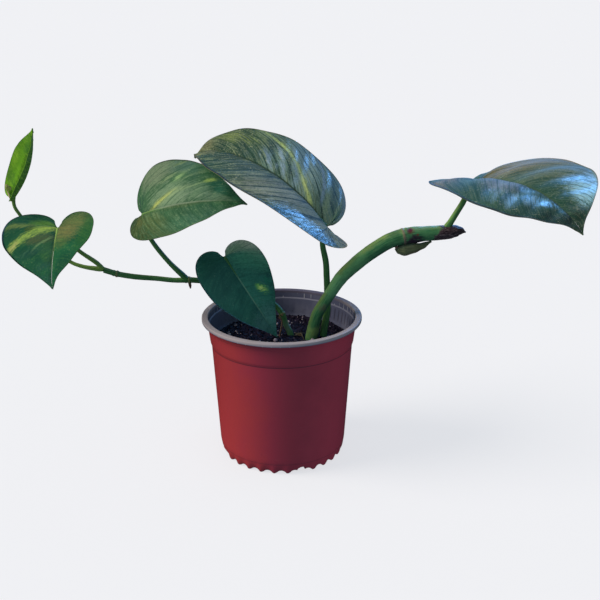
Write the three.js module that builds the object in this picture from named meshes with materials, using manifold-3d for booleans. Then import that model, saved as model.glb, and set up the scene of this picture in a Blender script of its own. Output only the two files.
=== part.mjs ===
// A pothos in a thin plastic nursery pot: a stout old cutting that carries one big leaf, a long
// thin vine with four leaves, and a leaf whose own stalk rises from the soil.
// Millimetres and degrees, +Z up, +X to the right, -Y towards the viewer.
// The origin is the middle of the pot's foot, on the surface that the pot stands on.

import * as THREE from "three";
import { mergeVertices } from "three/addons/utils/BufferGeometryUtils.js";
import Module from "manifold-3d";

const wasm = await Module();
wasm.setup();

// ---- driving dimensions ----

const gap = 0.3; // clearance between pieces that touch

const pot = {
  height: 110,
  rimRadius: 60,
  mouthRadius: 55.3,
  wall: 1.2,
  lipDepth: 2.6, // how far the rolled edge of the rim hangs down
  ledgeHeight: 103.7, // small ledge round the inside, where pots stack
  stepHeight: 88.9, // the collar starts above this height
  stepRise: 2.1,
  collarRadius: 54,
  bodyTopRadius: 53.1,
  bodyFootRadius: 48.3,
  heelHeight: 11,
  heelRound: [ // [inwards from the body's foot radius, height]
    [2, 1.1],
    [1.1, 3.8],
    [0.5, 7.6],
  ],
  footOuter: 45.5,
  footInner: 41.5,
  heelFloor: 3.4, // floor over the foot ring
  panelRadius: 36.5,
  panelHeight: 4.5, // raised floor inside the foot ring
  padRadius: 12, // flat pad under the middle
  padSlope: 3,
  edgeRound: 0.7,
  ledgeWidth: 0.7,
  segments: 44,
};

const heel = {
  feet: 28,
  firstFoot: 6, // degrees from the front, towards +X
  scallopRadius: 5,
  scallopDepth: 2,
  notchEvery: 7, // every seventh foot is a drainage notch
  notchRadius: 3.2,
  notchDepth: 5.5,
};

const soil = {
  level: 89.8, // at the pot's wall
  mound: 1.4, // higher in the middle
  relief: 0.8,
  crumb: 0.7,
  rings: 7,
  segments: 32,
  grains: 34,
  grainSmall: 0.9,
  grainLarge: 1.9,
  seed: 11,
};

// Routes are [x, y, z, radius], from the buried end outwards.

const cutting = {
  route: [
    [16, 1, 60, 4.6],
    [22.6, -0.8, 93, 4.7],
    [26.2, -2, 109.6, 4.4],
    [30.8, -2.6, 118.6, 4.3],
    [36.5, -3, 128.2, 4.4],
    [44.3, -3, 140.2, 4.9],
    [52.7, -3, 148.8, 5.2],
    [59.7, -2.8, 154.9, 5.4],
    [68, -2.3, 161.1, 5.5],
    [79.2, -1.2, 167.6, 5.6],
    [89, -0.5, 170.6, 5.9],
    [96.5, 0, 171.6, 6.1],
    [105, 0, 172.6, 5.5],
    [114, 0, 173.2, 5.4],
    [122, 0, 173.9, 5.2],
    [127, 0, 174.6, 4.4],
    [130.5, 0, 174.8, 2.9],
    [134.3, 0, 173.6, 0.6],
  ],
  nodes: [10],
  ridge: 0.5, // how far the ring at a node stands out
  sides: 12,
  spacing: 8,
};

const vine = {
  route: [
    [5, 4, 64, 2.3],
    [6.8, 3, 91, 2.4],
    [2.5, 6, 100.5, 2.3],
    [0, 7, 107.8, 2.2],
    [-6.1, 9, 114.8, 2],
    [-18.3, 12, 121.4, 2],
    [-29.6, 12.5, 125, 2.05],
    [-44, 12.5, 129.3, 2.05],
    [-59.4, 10, 132.9, 2.1],
    [-69.6, 7, 134.7, 2.2],
    [-79.9, 6, 134.8, 1.9],
    [-93.9, 5, 136.6, 1.9],
    [-109.5, 5, 137.9, 2.05],
    [-122.8, 5, 140.2, 2.1],
    [-132.2, 5, 143.2, 2.2],
  ],
  nodes: [3, 6, 9, 13],
  ridge: 0.6,
  sides: 10,
  spacing: 6,
};

const rootStub = {
  route: [
    [-69.4, 7, 134.2, 1.3],
    [-68.9, 6.8, 130.8, 1.1],
    [-68.6, 6.3, 128.2, 0.5],
  ],
  sides: 8,
  spacing: 2,
};

const dryRoot = {
  route: [
    [-2.3, 3.6, 106.6, 0.8],
    [-0.2, 3, 103.2, 0.7],
    [-0.6, 2.4, 97.5, 0.6],
    [-1.8, 2, 92, 0.6],
    [-2.4, 1.8, 86, 0.5],
  ],
  sides: 8,
  spacing: 2.5,
};

const surfaceRoots = {
  sides: 8,
  spacing: 2.5,
  routes: [
    [
      [10.2, 3.4, 91.6, 0.9],
      [12.6, 3.9, 92.1, 0.9],
      [15.4, 3.4, 92.3, 0.8],
    ],
    [
      [8.6, 8.2, 91.3, 0.6],
      [11.4, 5.6, 92, 0.7],
      [13.4, 3.7, 92.2, 0.8],
    ],
  ],
};

const nodeSheath = {
  route: [
    [109.5, -1, 167.2, 0.8],
    [103, -1.4, 163.9, 2.4],
    [96, -1.6, 162.1, 4.1],
    [90, -1.8, 161, 4.6],
    [85.8, -2, 161.2, 3.3],
    [83.2, -2, 161.9, 1],
  ],
  sides: 10,
  spacing: 4,
};

const bladeDetail = {
  thickness: 0.8,
  lobeColumns: 5, // veins that fan out into the basal lobe
  sinus: 0.14, // the lobe's outline starts a little way out from the base
  sweep: 0.55, // how far towards the base a vein starts, over the margin's distance
  knuckleDrop: 0.9, // how far the knuckle's middle lies under the blade, over its radius
};

const stalkTube = { sides: 8, spacing: 7 };

// A blade starts at base, where stalk and blade meet. yaw, pitch and roll turn it: yaw from +X, pitch
// up from level, roll about its midrib. Then the midrib arches by bend, swerves and twists over its
// length, with tipBend more in its last third. Each half has its width, the reach of its lobe behind
// the base, its rise from the midrib (fold), the turn from there to the margin (curl), and where it
// is widest, how full its side is and how broad its tip, as shares. A lobe can rise behind the base
// (lift) and a margin can sway up and down once along the blade, highest at swayAt. left is left of
// the midrib, seen from above and from the base. The stalk is a route that ends under the base.

const leaves = {
  leaf_right: {
    base: [142.2, 0, 211.6],
    yaw: -51.8, pitch: 15.9, roll: 1.5, length: 106.3,
    bend: -47.3, swerve: -17.9, twist: -16.6, tipBend: -7,
    left: {
      width: 45.7, back: 16.4, fold: 26.3, curl: -33.1, wide: 0.31, full: 0.69, tip: 0.17,
      lift: -1.1, sway: -1.7, swayAt: 0.51,
    },
    right: {
      width: 49.3, back: 22.3, fold: 17.7, curl: -35.1, wide: 0.26, full: 0.72, tip: 0.19,
      lift: 0.6,
    },
    rows: 4, sideColumns: 12, pleat: 0.7, wave: 0.5, rib: 1.2, knuckle: 2,
    stalk: [
      [117, 0, 173.6, 2.5],
      [120.5, 0, 177.2, 2.9],
      [123.3, 0, 182, 2.3],
      [126.4, 0, 187.6, 2.2],
      [130.2, 0, 194.4, 2.1],
      [134.2, 0, 202, 2],
    ],
  },
  leaf_top: {
    base: [33.5, -2, 178.5],
    yaw: 172.8, pitch: 55.1, roll: 23, length: 127.8,
    bend: -66.6, swerve: -6.5, twist: 28.8, tipBend: -34.3,
    left: {
      width: 45.2, back: 14, fold: 32.3, curl: -27.4, wide: 0.29, full: 0.72, tip: 0.38,
      lift: 3.1, sway: -1, swayAt: 0.34,
    },
    right: {
      width: 46, back: 2.3, fold: 21.5, curl: -49.9, wide: 0.19, full: 0.62, tip: 0.19,
      lift: -1.2, sway: -0.5, swayAt: 0.55,
    },
    rows: 4, sideColumns: 12, pleat: 0.7, wave: 0.5, rib: 1.3, knuckle: 2.2,
    stalk: [
      [30, 0, 60, 2.4],
      [31.2, 1.5, 91.5, 2.8],
      [32.9, 4.2, 102.1, 2.7],
      [34.3, 6.9, 112, 2.6],
      [34.2, 8, 124.8, 2.5],
      [33.6, 7, 137, 2.4],
      [32.8, 5, 149.4, 2.3],
      [30.1, 1, 165.2, 2.05],
    ],
  },
  leaf_front: {
    base: [-41.8, 2, 154.2],
    yaw: -28.7, pitch: -51.4, roll: -42, length: 73.1,
    bend: -20.4, swerve: 4.8, twist: 14.9, tipBend: -3.2,
    left: { width: 26.6, back: 6.5, fold: 2.3, curl: -12.4, wide: 0.2, full: 0.47, tip: 0.14 },
    right: { width: 27.9, back: 10.2, fold: 6.2, curl: 4.2, wide: 0.18, full: 0.46, tip: 0.17 },
    rows: 3, sideColumns: 9, pleat: 0.2, wave: 0.3, rib: 0.9, knuckle: 1.8,
    stalk: [
      [-29.8, 12.5, 125.1, 1.7],
      [-31.8, 12.4, 130, 1.9],
      [-35.5, 10.8, 140.5, 1.6],
      [-39.6, 7, 149.5, 1.5],
    ],
  },
  leaf_upper_left: {
    base: [-101.1, 0, 187],
    yaw: -21, pitch: 23.9, roll: -37.3, length: 81.2,
    bend: -38.9, swerve: 2.8, twist: 1, tipBend: -17.1,
    left: { width: 40.9, back: 3.3, fold: 17.3, curl: -14, wide: 0.2, full: 0.58, tip: 0.15 },
    right: { width: 27.2, back: 7.9, fold: 9.7, curl: -29.1, wide: 0.21, full: 0.52, tip: 0.19 },
    rows: 4, sideColumns: 10, pleat: 0.3, wave: 0.4, rib: 1, knuckle: 2,
    stalk: [
      [-70.4, 6.9, 135.2, 1.9],
      [-74.6, 6, 139.4, 2.2],
      [-84.8, 4, 151.3, 1.8],
      [-95.1, 3, 166.4, 1.7],
      [-100.3, 2.5, 178.5, 1.7],
    ],
  },
  leaf_left: {
    base: [-162.4, 0, 177.4],
    yaw: -88.9, pitch: -23.7, roll: -8.3, length: 61.6,
    bend: -8.6, swerve: 9.3, twist: 0.2, tipBend: -9.6,
    left: { width: 30.3, back: 10.8, fold: 21.1, curl: -20.2, wide: 0.19, full: 0.47, tip: 0.08 },
    right: { width: 37.4, back: 12.1, fold: 17.4, curl: -5.8, wide: 0.16, full: 0.48, tip: 0.13 },
    rows: 3, sideColumns: 9, pleat: 0.3, wave: 0.4, rib: 0.9, knuckle: 1.8,
    stalk: [
      [-132.4, 4.4, 144.2, 1.5],
      [-137.3, 4, 149.2, 1.7],
      [-149.2, 3, 158.7, 1.5],
      [-157.7, 2.2, 168.7, 1.4],
    ],
  },
  leaf_young: {
    base: [-196.3, 10, 197.9],
    yaw: 14.5, pitch: 49.6, roll: -36.2, length: 55.2,
    bend: 45.5, swerve: 9.7, twist: -2.8, tipBend: -12.9,
    left: { width: 13.5, back: 1.7, fold: 14.3, curl: 34.1, wide: 0.46, full: 0.67, tip: 0.09 },
    right: { width: 9.4, back: 3.7, fold: 31.2, curl: 50, wide: 0.35, full: 0.71, tip: 0.18 },
    rows: 3, sideColumns: 9, pleat: 0.15, wave: 0.2, rib: 0.6, knuckle: 1.4,
    stalk: [
      [-132.6, 5.6, 143.3, 1.5],
      [-137.1, 7, 143.4, 1.9],
      [-148.7, 9, 144.6, 1.5],
      [-158.2, 11, 147.6, 1.4],
      [-173, 13, 159.4, 1.3],
      [-186.7, 14, 174.5, 1.25],
      [-193.1, 13.5, 183.1, 1.25],
      [-196, 11.5, 190.6, 1.3],
    ],
  },
};

// the dry sheath that the young leaf unrolled from
const youngSheath = {
  base: [-196.6, 10.6, 195.2],
  yaw: 160, pitch: 68, roll: 20, length: 12,
  bend: 10, swerve: 0, twist: 0, tipBend: 0,
  left: { width: 3, back: 0.8, fold: 30, curl: 30, wide: 0.4, full: 0.6, tip: 0.4 },
  right: { width: 3, back: 0.8, fold: 30, curl: 30, wide: 0.4, full: 0.6, tip: 0.4 },
  rows: 2, sideColumns: 4, pleat: 0, wave: 0.4, rib: 0.2,
};

const colours = {
  pot: new THREE.MeshStandardMaterial({ color: 0x96303a, roughness: 0.45, metalness: 0 }),
  soil: new THREE.MeshStandardMaterial({ color: 0x17141a, roughness: 0.95, metalness: 0 }),
  cutting: new THREE.MeshStandardMaterial({ color: 0x2f6a2c, roughness: 0.5, metalness: 0 }),
  vine: new THREE.MeshStandardMaterial({ color: 0x2f6236, roughness: 0.5, metalness: 0 }),
  dry: new THREE.MeshStandardMaterial({ color: 0x7d6350, roughness: 0.85, metalness: 0 }),
  sheath: new THREE.MeshStandardMaterial({ color: 0x4c5a3c, roughness: 0.7, metalness: 0 }),
  leaf: new THREE.MeshStandardMaterial({ color: 0x2c5a44, roughness: 0.35, metalness: 0 }),
  youngLeaf: new THREE.MeshStandardMaterial({ color: 0x5f911e, roughness: 0.4, metalness: 0 }),
};

// ---- helpers ----

const radians = THREE.MathUtils.degToRad;

// the same draws on every run
function seededDraw(seed) {
  let state = seed;
  return () => {
    state = (state * 1664525 + 1013904223) % 4294967296;
    return state / 4294967296;
  };
}

// a closed geometry becomes a solid that can be joined and cut
function solidOf(geometry) {
  geometry.deleteAttribute("normal");
  geometry.deleteAttribute("uv");
  const merged = mergeVertices(geometry, 1e-4);
  const corners = [];
  for (let i = 0; i < merged.index.count; i += 3) {
    const [a, b, c] = [0, 1, 2].map((k) => merged.index.getX(i + k));
    if (a !== b && b !== c && c !== a) corners.push([a, b, c]);
  }
  const build = (triangles) =>
    new wasm.Manifold(
      new wasm.Mesh({
        numProp: 3,
        vertProperties: new Float32Array(merged.attributes.position.array),
        triVerts: Uint32Array.from(triangles.flat()),
      }),
    );
  const solid = build(corners);
  return solid.volume() > 0 ? solid : build(corners.map(([a, b, c]) => [a, c, b]));
}

// a cut can leave a loose scrap; only the piece itself is kept
function mainPiece(solid) {
  return solid.decompose().sort((a, b) => b.volume() - a.volume())[0];
}

function meshOf(name, solid, material) {
  const { vertProperties, triVerts } = mainPiece(solid).getMesh();
  const geometry = new THREE.BufferGeometry();
  geometry.setAttribute("position", new THREE.BufferAttribute(vertProperties, 3));
  geometry.setIndex(new THREE.BufferAttribute(triVerts, 1));
  geometry.computeVertexNormals();
  const mesh = new THREE.Mesh(geometry, material);
  mesh.name = name;
  return mesh;
}

// a profile of [radius, height] points, from the axis round to the axis, turned about Z
function turned(profile, segments) {
  const points = profile.map(([r, z]) => new THREE.Vector2(r, z));
  return new THREE.LatheGeometry(points, segments).rotateX(Math.PI / 2);
}

// ---- stems ----

// where the rings of a tube stand along its curve, with three at each node to shape its ridge
function ringsAlong(curve, route, { spacing, nodes = [], ridge = 0 }) {
  const ridgeHalfWidth = 1.5;
  const samples = 20; // of the curve's length, between two points of the route
  const length = curve.getLength();
  const lengths = curve.getLengths(samples * (route.length - 1));
  const nodeRings = nodes.flatMap((index) => {
    const at = lengths[samples * index];
    const offsets = [-ridgeHalfWidth, 0, ridgeHalfWidth];
    return offsets.map((offset) => ({ at: at + offset, extra: offset === 0 ? ridge : 0 }));
  });
  const count = Math.ceil(length / spacing);
  const even = Array.from({ length: count + 1 }, (_, i) => (i * length) / count);
  const plain = even.map((at) => ({ at, extra: 0 }));
  const clear = plain.filter(({ at }) => nodeRings.every((ring) => Math.abs(ring.at - at) > 1));
  const rings = [...clear, ...nodeRings].sort((a, b) => a.at - b.at);
  return rings.map((ring) => ({ ...ring, u: Math.min(1, ring.at / length) }));
}

// a closed tube along a smooth route; grow makes it larger all over, as a cutter
function tube({ route, sides, ...rest }, grow = 0) {
  const points = route.map(([x, y, z]) => new THREE.Vector3(x, y, z));
  const curve = new THREE.CatmullRomCurve3(points);
  const rings = ringsAlong(curve, route, rest);
  const position = [];
  const side = new THREE.Vector3(0.3, 1, 0.2);
  rings.forEach(({ u, extra }, i) => {
    const along = curve.getTangentAt(u);
    const place = curve.getUtoTmapping(u) * (route.length - 1);
    const from = Math.min(Math.floor(place), route.length - 2);
    const thickness = THREE.MathUtils.lerp(route[from][3], route[from + 1][3], place - from);
    const radius = thickness + extra + grow;
    side.addScaledVector(along, -side.dot(along)).normalize();
    const other = along.clone().cross(side);
    const centre = curve.getPointAt(u);
    if (i === 0) centre.addScaledVector(along, -grow);
    if (i === rings.length - 1) centre.addScaledVector(along, grow);
    for (let k = 0; k < sides; k += 1) {
      const turn = (2 * Math.PI * k) / sides;
      const point = centre.clone();
      point.addScaledVector(side, radius * Math.cos(turn));
      point.addScaledVector(other, radius * Math.sin(turn));
      position.push(...point.toArray());
    }
  });
  const index = [];
  for (let i = 0; i < rings.length - 1; i += 1) {
    for (let k = 0; k < sides; k += 1) {
      const [a, b] = [i * sides + k, i * sides + ((k + 1) % sides)];
      index.push(a, b, b + sides, a, b + sides, a + sides);
    }
  }
  const last = (rings.length - 1) * sides;
  for (let k = 1; k < sides - 1; k += 1) {
    index.push(0, k + 1, k, last, last + k, last + k + 1);
  }
  const geometry = new THREE.BufferGeometry();
  geometry.setAttribute("position", new THREE.Float32BufferAttribute(position, 3));
  geometry.setIndex(index);
  return solidOf(geometry);
}

// ---- blades ----

// the frame of a midrib at a distance from the base: origin, and along, across and up directions
function midribOf(leaf) {
  const [yaw, pitch, roll] = [leaf.yaw, leaf.pitch, leaf.roll].map(radians);
  const [bend, swerve, twist, tipBend] = [leaf.bend, leaf.swerve, leaf.twist, leaf.tipBend].map(radians);
  const ahead = new THREE.Vector3(Math.cos(yaw), Math.sin(yaw), 0);
  const level = new THREE.Vector3(-Math.sin(yaw), Math.cos(yaw), 0);
  const along = ahead.multiplyScalar(Math.cos(pitch)).setZ(Math.sin(pitch));
  const across = level.clone().applyAxisAngle(along, -roll);
  const up = along.clone().cross(across);
  const blend = (a, b, c) =>
    new THREE.Vector3().addScaledVector(along, a).addScaledVector(across, b).addScaledVector(up, c);
  const turns = (s) => {
    const share = s / leaf.length;
    const nearTip = Math.max(0, (share - 0.7) / 0.3);
    const turn = twist * THREE.MathUtils.clamp(share, -1, 1);
    return [bend * share + tipBend * nearTip * nearTip, swerve * share, turn];
  };
  const direction = (s) => {
    const [arch, veer] = turns(s);
    return blend(Math.cos(arch) * Math.cos(veer), Math.cos(arch) * Math.sin(veer), Math.sin(arch));
  };
  const origin = (s) => {
    const steps = 24;
    const point = new THREE.Vector3(...leaf.base);
    for (let i = 0; i < steps; i += 1) {
      point.addScaledVector(direction((s * (i + 0.5)) / steps), s / steps);
    }
    return point;
  };
  return (s) => {
    const [arch, veer, turn] = turns(s);
    const normal = blend(-Math.sin(arch) * Math.cos(veer), -Math.sin(arch) * Math.sin(veer), Math.cos(arch));
    const beside = blend(-Math.sin(veer), Math.cos(veer), 0);
    return {
      origin: origin(s),
      along: direction(s),
      up: normal.clone().multiplyScalar(Math.cos(turn)).addScaledVector(beside, Math.sin(turn)),
      across: beside.clone().multiplyScalar(Math.cos(turn)).addScaledVector(normal, -Math.sin(turn)),
    };
  };
}

// the outline of one half: round the basal lobe, then down the side to the tip, as [along, across]
function marginOf(leaf, half) {
  const widest = half.wide * leaf.length;
  const reach = (half.back + 0.064 * widest) / 0.72;
  const shoulder = widest + half.full * (leaf.length - widest);
  const neck = leaf.length - 0.22 * (leaf.length - widest);
  const v = (x, y) => new THREE.Vector2(x, y);
  const lobe = new THREE.CubicBezierCurve(
    v(0, 0), v(-reach, 0.12 * half.width), v(-reach, half.width), v(widest, half.width),
  );
  const side = new THREE.CubicBezierCurve(
    v(widest, half.width), v(shoulder, half.width), v(neck, half.tip * half.width), v(leaf.length, 0),
  );
  const { sinus, lobeColumns } = bladeDetail;
  const last = lobeColumns - 1;
  const shares = Array.from({ length: last + 1 }, (_, i) => sinus + ((1 - sinus) * i) / last);
  const points = shares.map((share) => lobe.getPoint(share));
  for (let i = 1; i <= leaf.sideColumns; i += 1) points.push(side.getPoint(i / leaf.sideColumns));
  return points;
}

// a vein's curve from its foot on the midrib out to the margin
function veinPoint(foot, end, share) {
  const bow = new THREE.Vector2(foot.x + (end.x - foot.x) * 0.3, end.y * 0.62);
  return new THREE.QuadraticBezierCurve(foot, bow, end).getPoint(share);
}

// the upper face of a blade as points by vein and row for each half, each with the face under it
function bladePoints(leaf) {
  const midrib = midribOf(leaf);
  const margins = [marginOf(leaf, leaf.left), marginOf(leaf, leaf.right)];
  return [leaf.left, leaf.right].map((half, which) => {
    const side = which ? -1 : 1;
    const { lift = 0, sway = 0, swayAt = 0 } = half;
    return margins[which].map((end, i) => {
      const middle = margins[0][i].clone().add(margins[1][i]).multiplyScalar(0.5);
      const foot = new THREE.Vector2(Math.max(0, middle.x - bladeDetail.sweep * middle.y), 0);
      return Array.from({ length: leaf.rows + 1 }, (_, row) => {
        const share = row / leaf.rows;
        const { x, y } = veinPoint(foot, end, share);
        const { origin, across, up } = midrib(x);
        const bendPerWidth = radians(half.curl) / half.width;
        const start = radians(half.fold);
        const slope = start + bendPerWidth * y;
        const out = (Math.sin(slope) - Math.sin(start)) / bendPerWidth;
        const rise = (Math.cos(start) - Math.cos(slope)) / bendPerWidth;
        const normal = up.clone().multiplyScalar(Math.cos(slope));
        normal.addScaledVector(across, -side * Math.sin(slope));
        const pleat = leaf.pleat * (i % 2 ? 1 : -1) * Math.sin(Math.PI * share ** 0.8);
        const wave = leaf.wave * Math.sin(1.9 * i + which) * share * share;
        const tipward = end.y > 0 ? 1 : 0;
        const swing = sway * Math.cos(2 * Math.PI * (x / leaf.length - swayAt)) * share * share;
        const behind = THREE.MathUtils.clamp(-x / 10, 0, 2);
        const point = origin.clone().addScaledVector(across, side * out);
        point.addScaledVector(up, rise + lift * behind * behind);
        point.addScaledVector(normal, (pleat + wave) * tipward + swing);
        const rib = row === 0 ? leaf.rib * (1 - x / leaf.length) : 0;
        const down = row === 0 ? up : normal;
        return { point, under: point.clone().addScaledVector(down, -bladeDetail.thickness - rib) };
      });
    });
  });
}

// the blade as a thin closed solid, its two faces split into triangles alike
function blade(leaf) {
  const top = [];
  const under = [];
  const known = new Map();
  const numberOf = ({ point, under: below }) => {
    const key = point.toArray().map((value) => value.toFixed(3)).join();
    if (!known.has(key)) {
      known.set(key, top.length);
      top.push(point);
      under.push(below);
    }
    return known.get(key);
  };
  const faces = [];
  bladePoints(leaf).forEach((columns, which) => {
    for (let i = 0; i < columns.length - 1; i += 1) {
      for (let row = 0; row < leaf.rows; row += 1) {
        const corners = [columns[i][row], columns[i + 1][row], columns[i + 1][row + 1], columns[i][row + 1]];
        const [a, b, c, d] = (which ? corners.reverse() : corners).map(numberOf);
        faces.push([a, b, c], [a, c, d]);
      }
    }
  });
  const real = faces.filter(([a, b, c]) => a !== b && b !== c && c !== a);
  const edges = new Set(real.flatMap(([a, b, c]) => [`${a},${b}`, `${b},${c}`, `${c},${a}`]));
  const ends = [...edges].map((edge) => edge.split(",").map(Number));
  const rim = ends.filter(([a, b]) => !edges.has(`${b},${a}`));
  const below = top.length;
  const index = [
    ...real,
    ...real.map(([a, b, c]) => [a + below, c + below, b + below]),
    ...rim.flatMap(([a, b]) => [[b, a, a + below], [b, a + below, b + below]]),
  ];
  const geometry = new THREE.BufferGeometry();
  const position = [...top, ...under].flatMap((point) => point.toArray());
  geometry.setAttribute("position", new THREE.Float32BufferAttribute(position, 3));
  geometry.setIndex(index.flat());
  return solidOf(geometry);
}

// a leaf is its blade, its stalk and the knuckle between them, grown as one
function leafSolid(leaf) {
  const { origin, along, up } = midribOf(leaf)(0);
  const drop = bladeDetail.knuckleDrop * leaf.knuckle;
  const joint = origin.clone().addScaledVector(up, -drop).addScaledVector(along, 0.6);
  const stalkEnd = [...joint.toArray(), leaf.stalk.at(-1)[3]];
  const stalk = tube({ ...stalkTube, route: [...leaf.stalk, stalkEnd] });
  const knuckle = new THREE.IcosahedronGeometry(leaf.knuckle, 1).translate(joint.x, joint.y, joint.z);
  return blade(leaf).add(stalk).add(solidOf(knuckle));
}

// ---- pot ----

function potOutside() {
  const { footInner, footOuter, bodyFootRadius, heelHeight, stepHeight, lipDepth, wall } = pot;
  const lip = pot.height - lipDepth;
  const underRim = pot.height - wall;
  return [
    [0, 0],
    [pot.padRadius, 0],
    [pot.padRadius + pot.padSlope, pot.panelHeight],
    [pot.panelRadius, pot.panelHeight],
    [footInner, 0],
    [footOuter, 0],
    ...pot.heelRound.map(([inwards, z]) => [bodyFootRadius - inwards, z]),
    [bodyFootRadius, heelHeight],
    [pot.bodyTopRadius, stepHeight],
    [pot.collarRadius, stepHeight + pot.stepRise],
    [pot.mouthRadius + wall - 1.4 * pot.ledgeWidth, pot.ledgeHeight - 1],
    [pot.mouthRadius + wall - 0.3, pot.ledgeHeight + 0.4],
    [pot.mouthRadius + wall, underRim],
    [pot.rimRadius - wall, underRim],
    [pot.rimRadius - wall, lip],
    [pot.rimRadius, lip],
    [pot.rimRadius, pot.height - pot.edgeRound],
    [pot.rimRadius - pot.edgeRound, pot.height],
  ];
}

function potInside() {
  const { wall, panelHeight, stepHeight, mouthRadius, bodyFootRadius } = pot;
  return [
    [mouthRadius + pot.edgeRound, pot.height],
    [mouthRadius, pot.height - pot.edgeRound],
    [mouthRadius - 0.3, pot.ledgeHeight + 0.6],
    [mouthRadius - 0.3 - pot.ledgeWidth, pot.ledgeHeight - 0.4],
    [pot.collarRadius - wall, stepHeight + pot.stepRise + 0.6],
    [pot.bodyTopRadius - wall, stepHeight + 0.4],
    [bodyFootRadius - wall - 0.2, pot.heelHeight],
    [bodyFootRadius - wall - 1.4, 5.8],
    [pot.footOuter, pot.heelFloor],
    [pot.footInner - 0.6, pot.heelFloor],
    [pot.panelRadius + 0.4, panelHeight + wall],
    [pot.padRadius + 2.4, panelHeight + wall],
    [pot.padRadius - 0.6, wall],
    [0, wall],
  ];
}

// a round cutter that lies across the foot ring, at an angle from the front
function heelCutter(radius, depth, angle) {
  const [length, outwards] = [15, 1.5];
  const cutter = new THREE.CylinderGeometry(radius, radius, length, 12);
  cutter.translate(0, -(pot.footOuter + outwards), 0);
  cutter.translate(0, 0, depth - radius);
  return cutter.rotateZ(radians(angle));
}

function potSolid() {
  let solid = solidOf(turned([...potOutside(), ...potInside()], pot.segments));
  const pitch = 360 / heel.feet;
  for (let i = 0; i < heel.feet; i += 1) {
    const foot = heel.firstFoot + i * pitch;
    const scallop = heelCutter(heel.scallopRadius, heel.scallopDepth, foot + pitch / 2);
    solid = solid.subtract(solidOf(scallop));
    if (i % heel.notchEvery === 1) {
      solid = solid.subtract(solidOf(heelCutter(heel.notchRadius, heel.notchDepth, foot)));
    }
  }
  return solid;
}

// ---- soil ----

function soilHeight(x, y) {
  const edge = Math.min(1, Math.hypot(x, y) / 50);
  const lumps = Math.sin(0.21 * x + 1.3) * Math.cos(0.17 * y + 0.4) + 0.5 * Math.sin(0.43 * x - 0.31 * y);
  return soil.level + soil.mound * (1 - edge * edge) + soil.relief * lumps * (1 - edge ** 6);
}

// it rests on the pot's raised floor and bridges the foot ring
function soilBody(draw) {
  const underside = pot.panelHeight + pot.wall + gap;
  const inner = pot.wall + gap;
  const edge = pot.bodyTopRadius - inner - 0.1;
  const sides = [
    [edge, soil.level - 3],
    [pot.bodyFootRadius - inner - 0.3, pot.heelHeight],
    [pot.bodyFootRadius - inner - 1.6, underside],
    [0, underside],
  ];
  const rings = Array.from({ length: soil.rings + 1 }, (_, i) => [(edge * i) / soil.rings, soil.level]);
  const geometry = turned([...rings, ...sides], soil.segments);
  const position = geometry.attributes.position;
  const crumbs = new Map();
  for (let i = 0; i < position.count; i += 1) {
    const [x, y, z] = [position.getX(i), position.getY(i), position.getZ(i)];
    if (Math.abs(z - soil.level) > 0.01) continue;
    const key = `${x.toFixed(2).replace("-0.00", "0.00")},${y.toFixed(2).replace("-0.00", "0.00")}`;
    if (!crumbs.has(key)) crumbs.set(key, (draw() - 0.5) * 2 * soil.crumb);
    position.setZ(i, soilHeight(x, y) + crumbs.get(key));
  }
  return solidOf(geometry);
}

// grains of perlite, half sunk in the surface
function withGrains(body, draw) {
  const reach = pot.bodyTopRadius - pot.wall - gap - soil.grainLarge - 0.5;
  let solid = body;
  for (let i = 0; i < soil.grains; i += 1) {
    const [turn, out] = [2 * Math.PI * draw(), reach * Math.sqrt(draw())];
    const size = THREE.MathUtils.lerp(soil.grainSmall, soil.grainLarge, draw() ** 2);
    const [x, y] = [out * Math.cos(turn), out * Math.sin(turn)];
    const grain = new THREE.IcosahedronGeometry(size, 0);
    grain.scale(1, 0.8 + 0.4 * draw(), 0.8).rotateZ(6 * draw());
    grain.translate(x, y, soilHeight(x, y) + 0.25 * size);
    solid = solid.add(solidOf(grain));
  }
  return solid;
}

function soilSolid(stems) {
  const draw = seededDraw(soil.seed);
  return stems.reduce((solid, stem) => solid.subtract(stem), withGrains(soilBody(draw), draw));
}

// ---- the plant in its pot ----

const cutterOf = (piece) => tube(piece, gap);
const stalkOf = (leaf) => ({ ...stalkTube, route: leaf.stalk });
const rootTubes = (grow) => surfaceRoots.routes.map((route) => tube({ ...surfaceRoots, route }, grow));

const cuttingSolid = tube(cutting);
const vineSolid = tube(vine).add(tube(rootStub));
const stemCutters = [cutterOf(cutting), cutterOf(vine)];
const clearOfStems = (solid) => stemCutters.reduce((rest, cutter) => rest.subtract(cutter), solid);

const plant = new THREE.Group();
plant.add(meshOf("pot", potSolid(), colours.pot));

const buried = [...stemCutters, cutterOf(stalkOf(leaves.leaf_top)), cutterOf(dryRoot), ...rootTubes(gap)];
plant.add(meshOf("soil", soilSolid(buried), colours.soil));
plant.add(meshOf("stem_cutting", cuttingSolid, colours.cutting));
plant.add(meshOf("vine", vineSolid, colours.vine));
plant.add(meshOf("dry_root", clearOfStems(tube(dryRoot)), colours.dry));
plant.add(meshOf("surface_roots", clearOfStems(wasm.Manifold.union(rootTubes(0))), colours.dry));
plant.add(meshOf("node_sheath", clearOfStems(tube(nodeSheath)), colours.sheath));

const { leaf_young: youngLeaf, ...grownLeaves } = leaves;
for (const [name, leaf] of Object.entries(grownLeaves)) {
  plant.add(meshOf(name, clearOfStems(leafSolid(leaf)), colours.leaf));
}

// the shoot of the young leaf and the stalk beside it leave the same node
const shoot = leafSolid(youngLeaf).add(blade(youngSheath)).subtract(cutterOf(stalkOf(leaves.leaf_left)));
plant.add(meshOf("leaf_young", clearOfStems(shoot), colours.youngLeaf));

export default plant;
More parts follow.
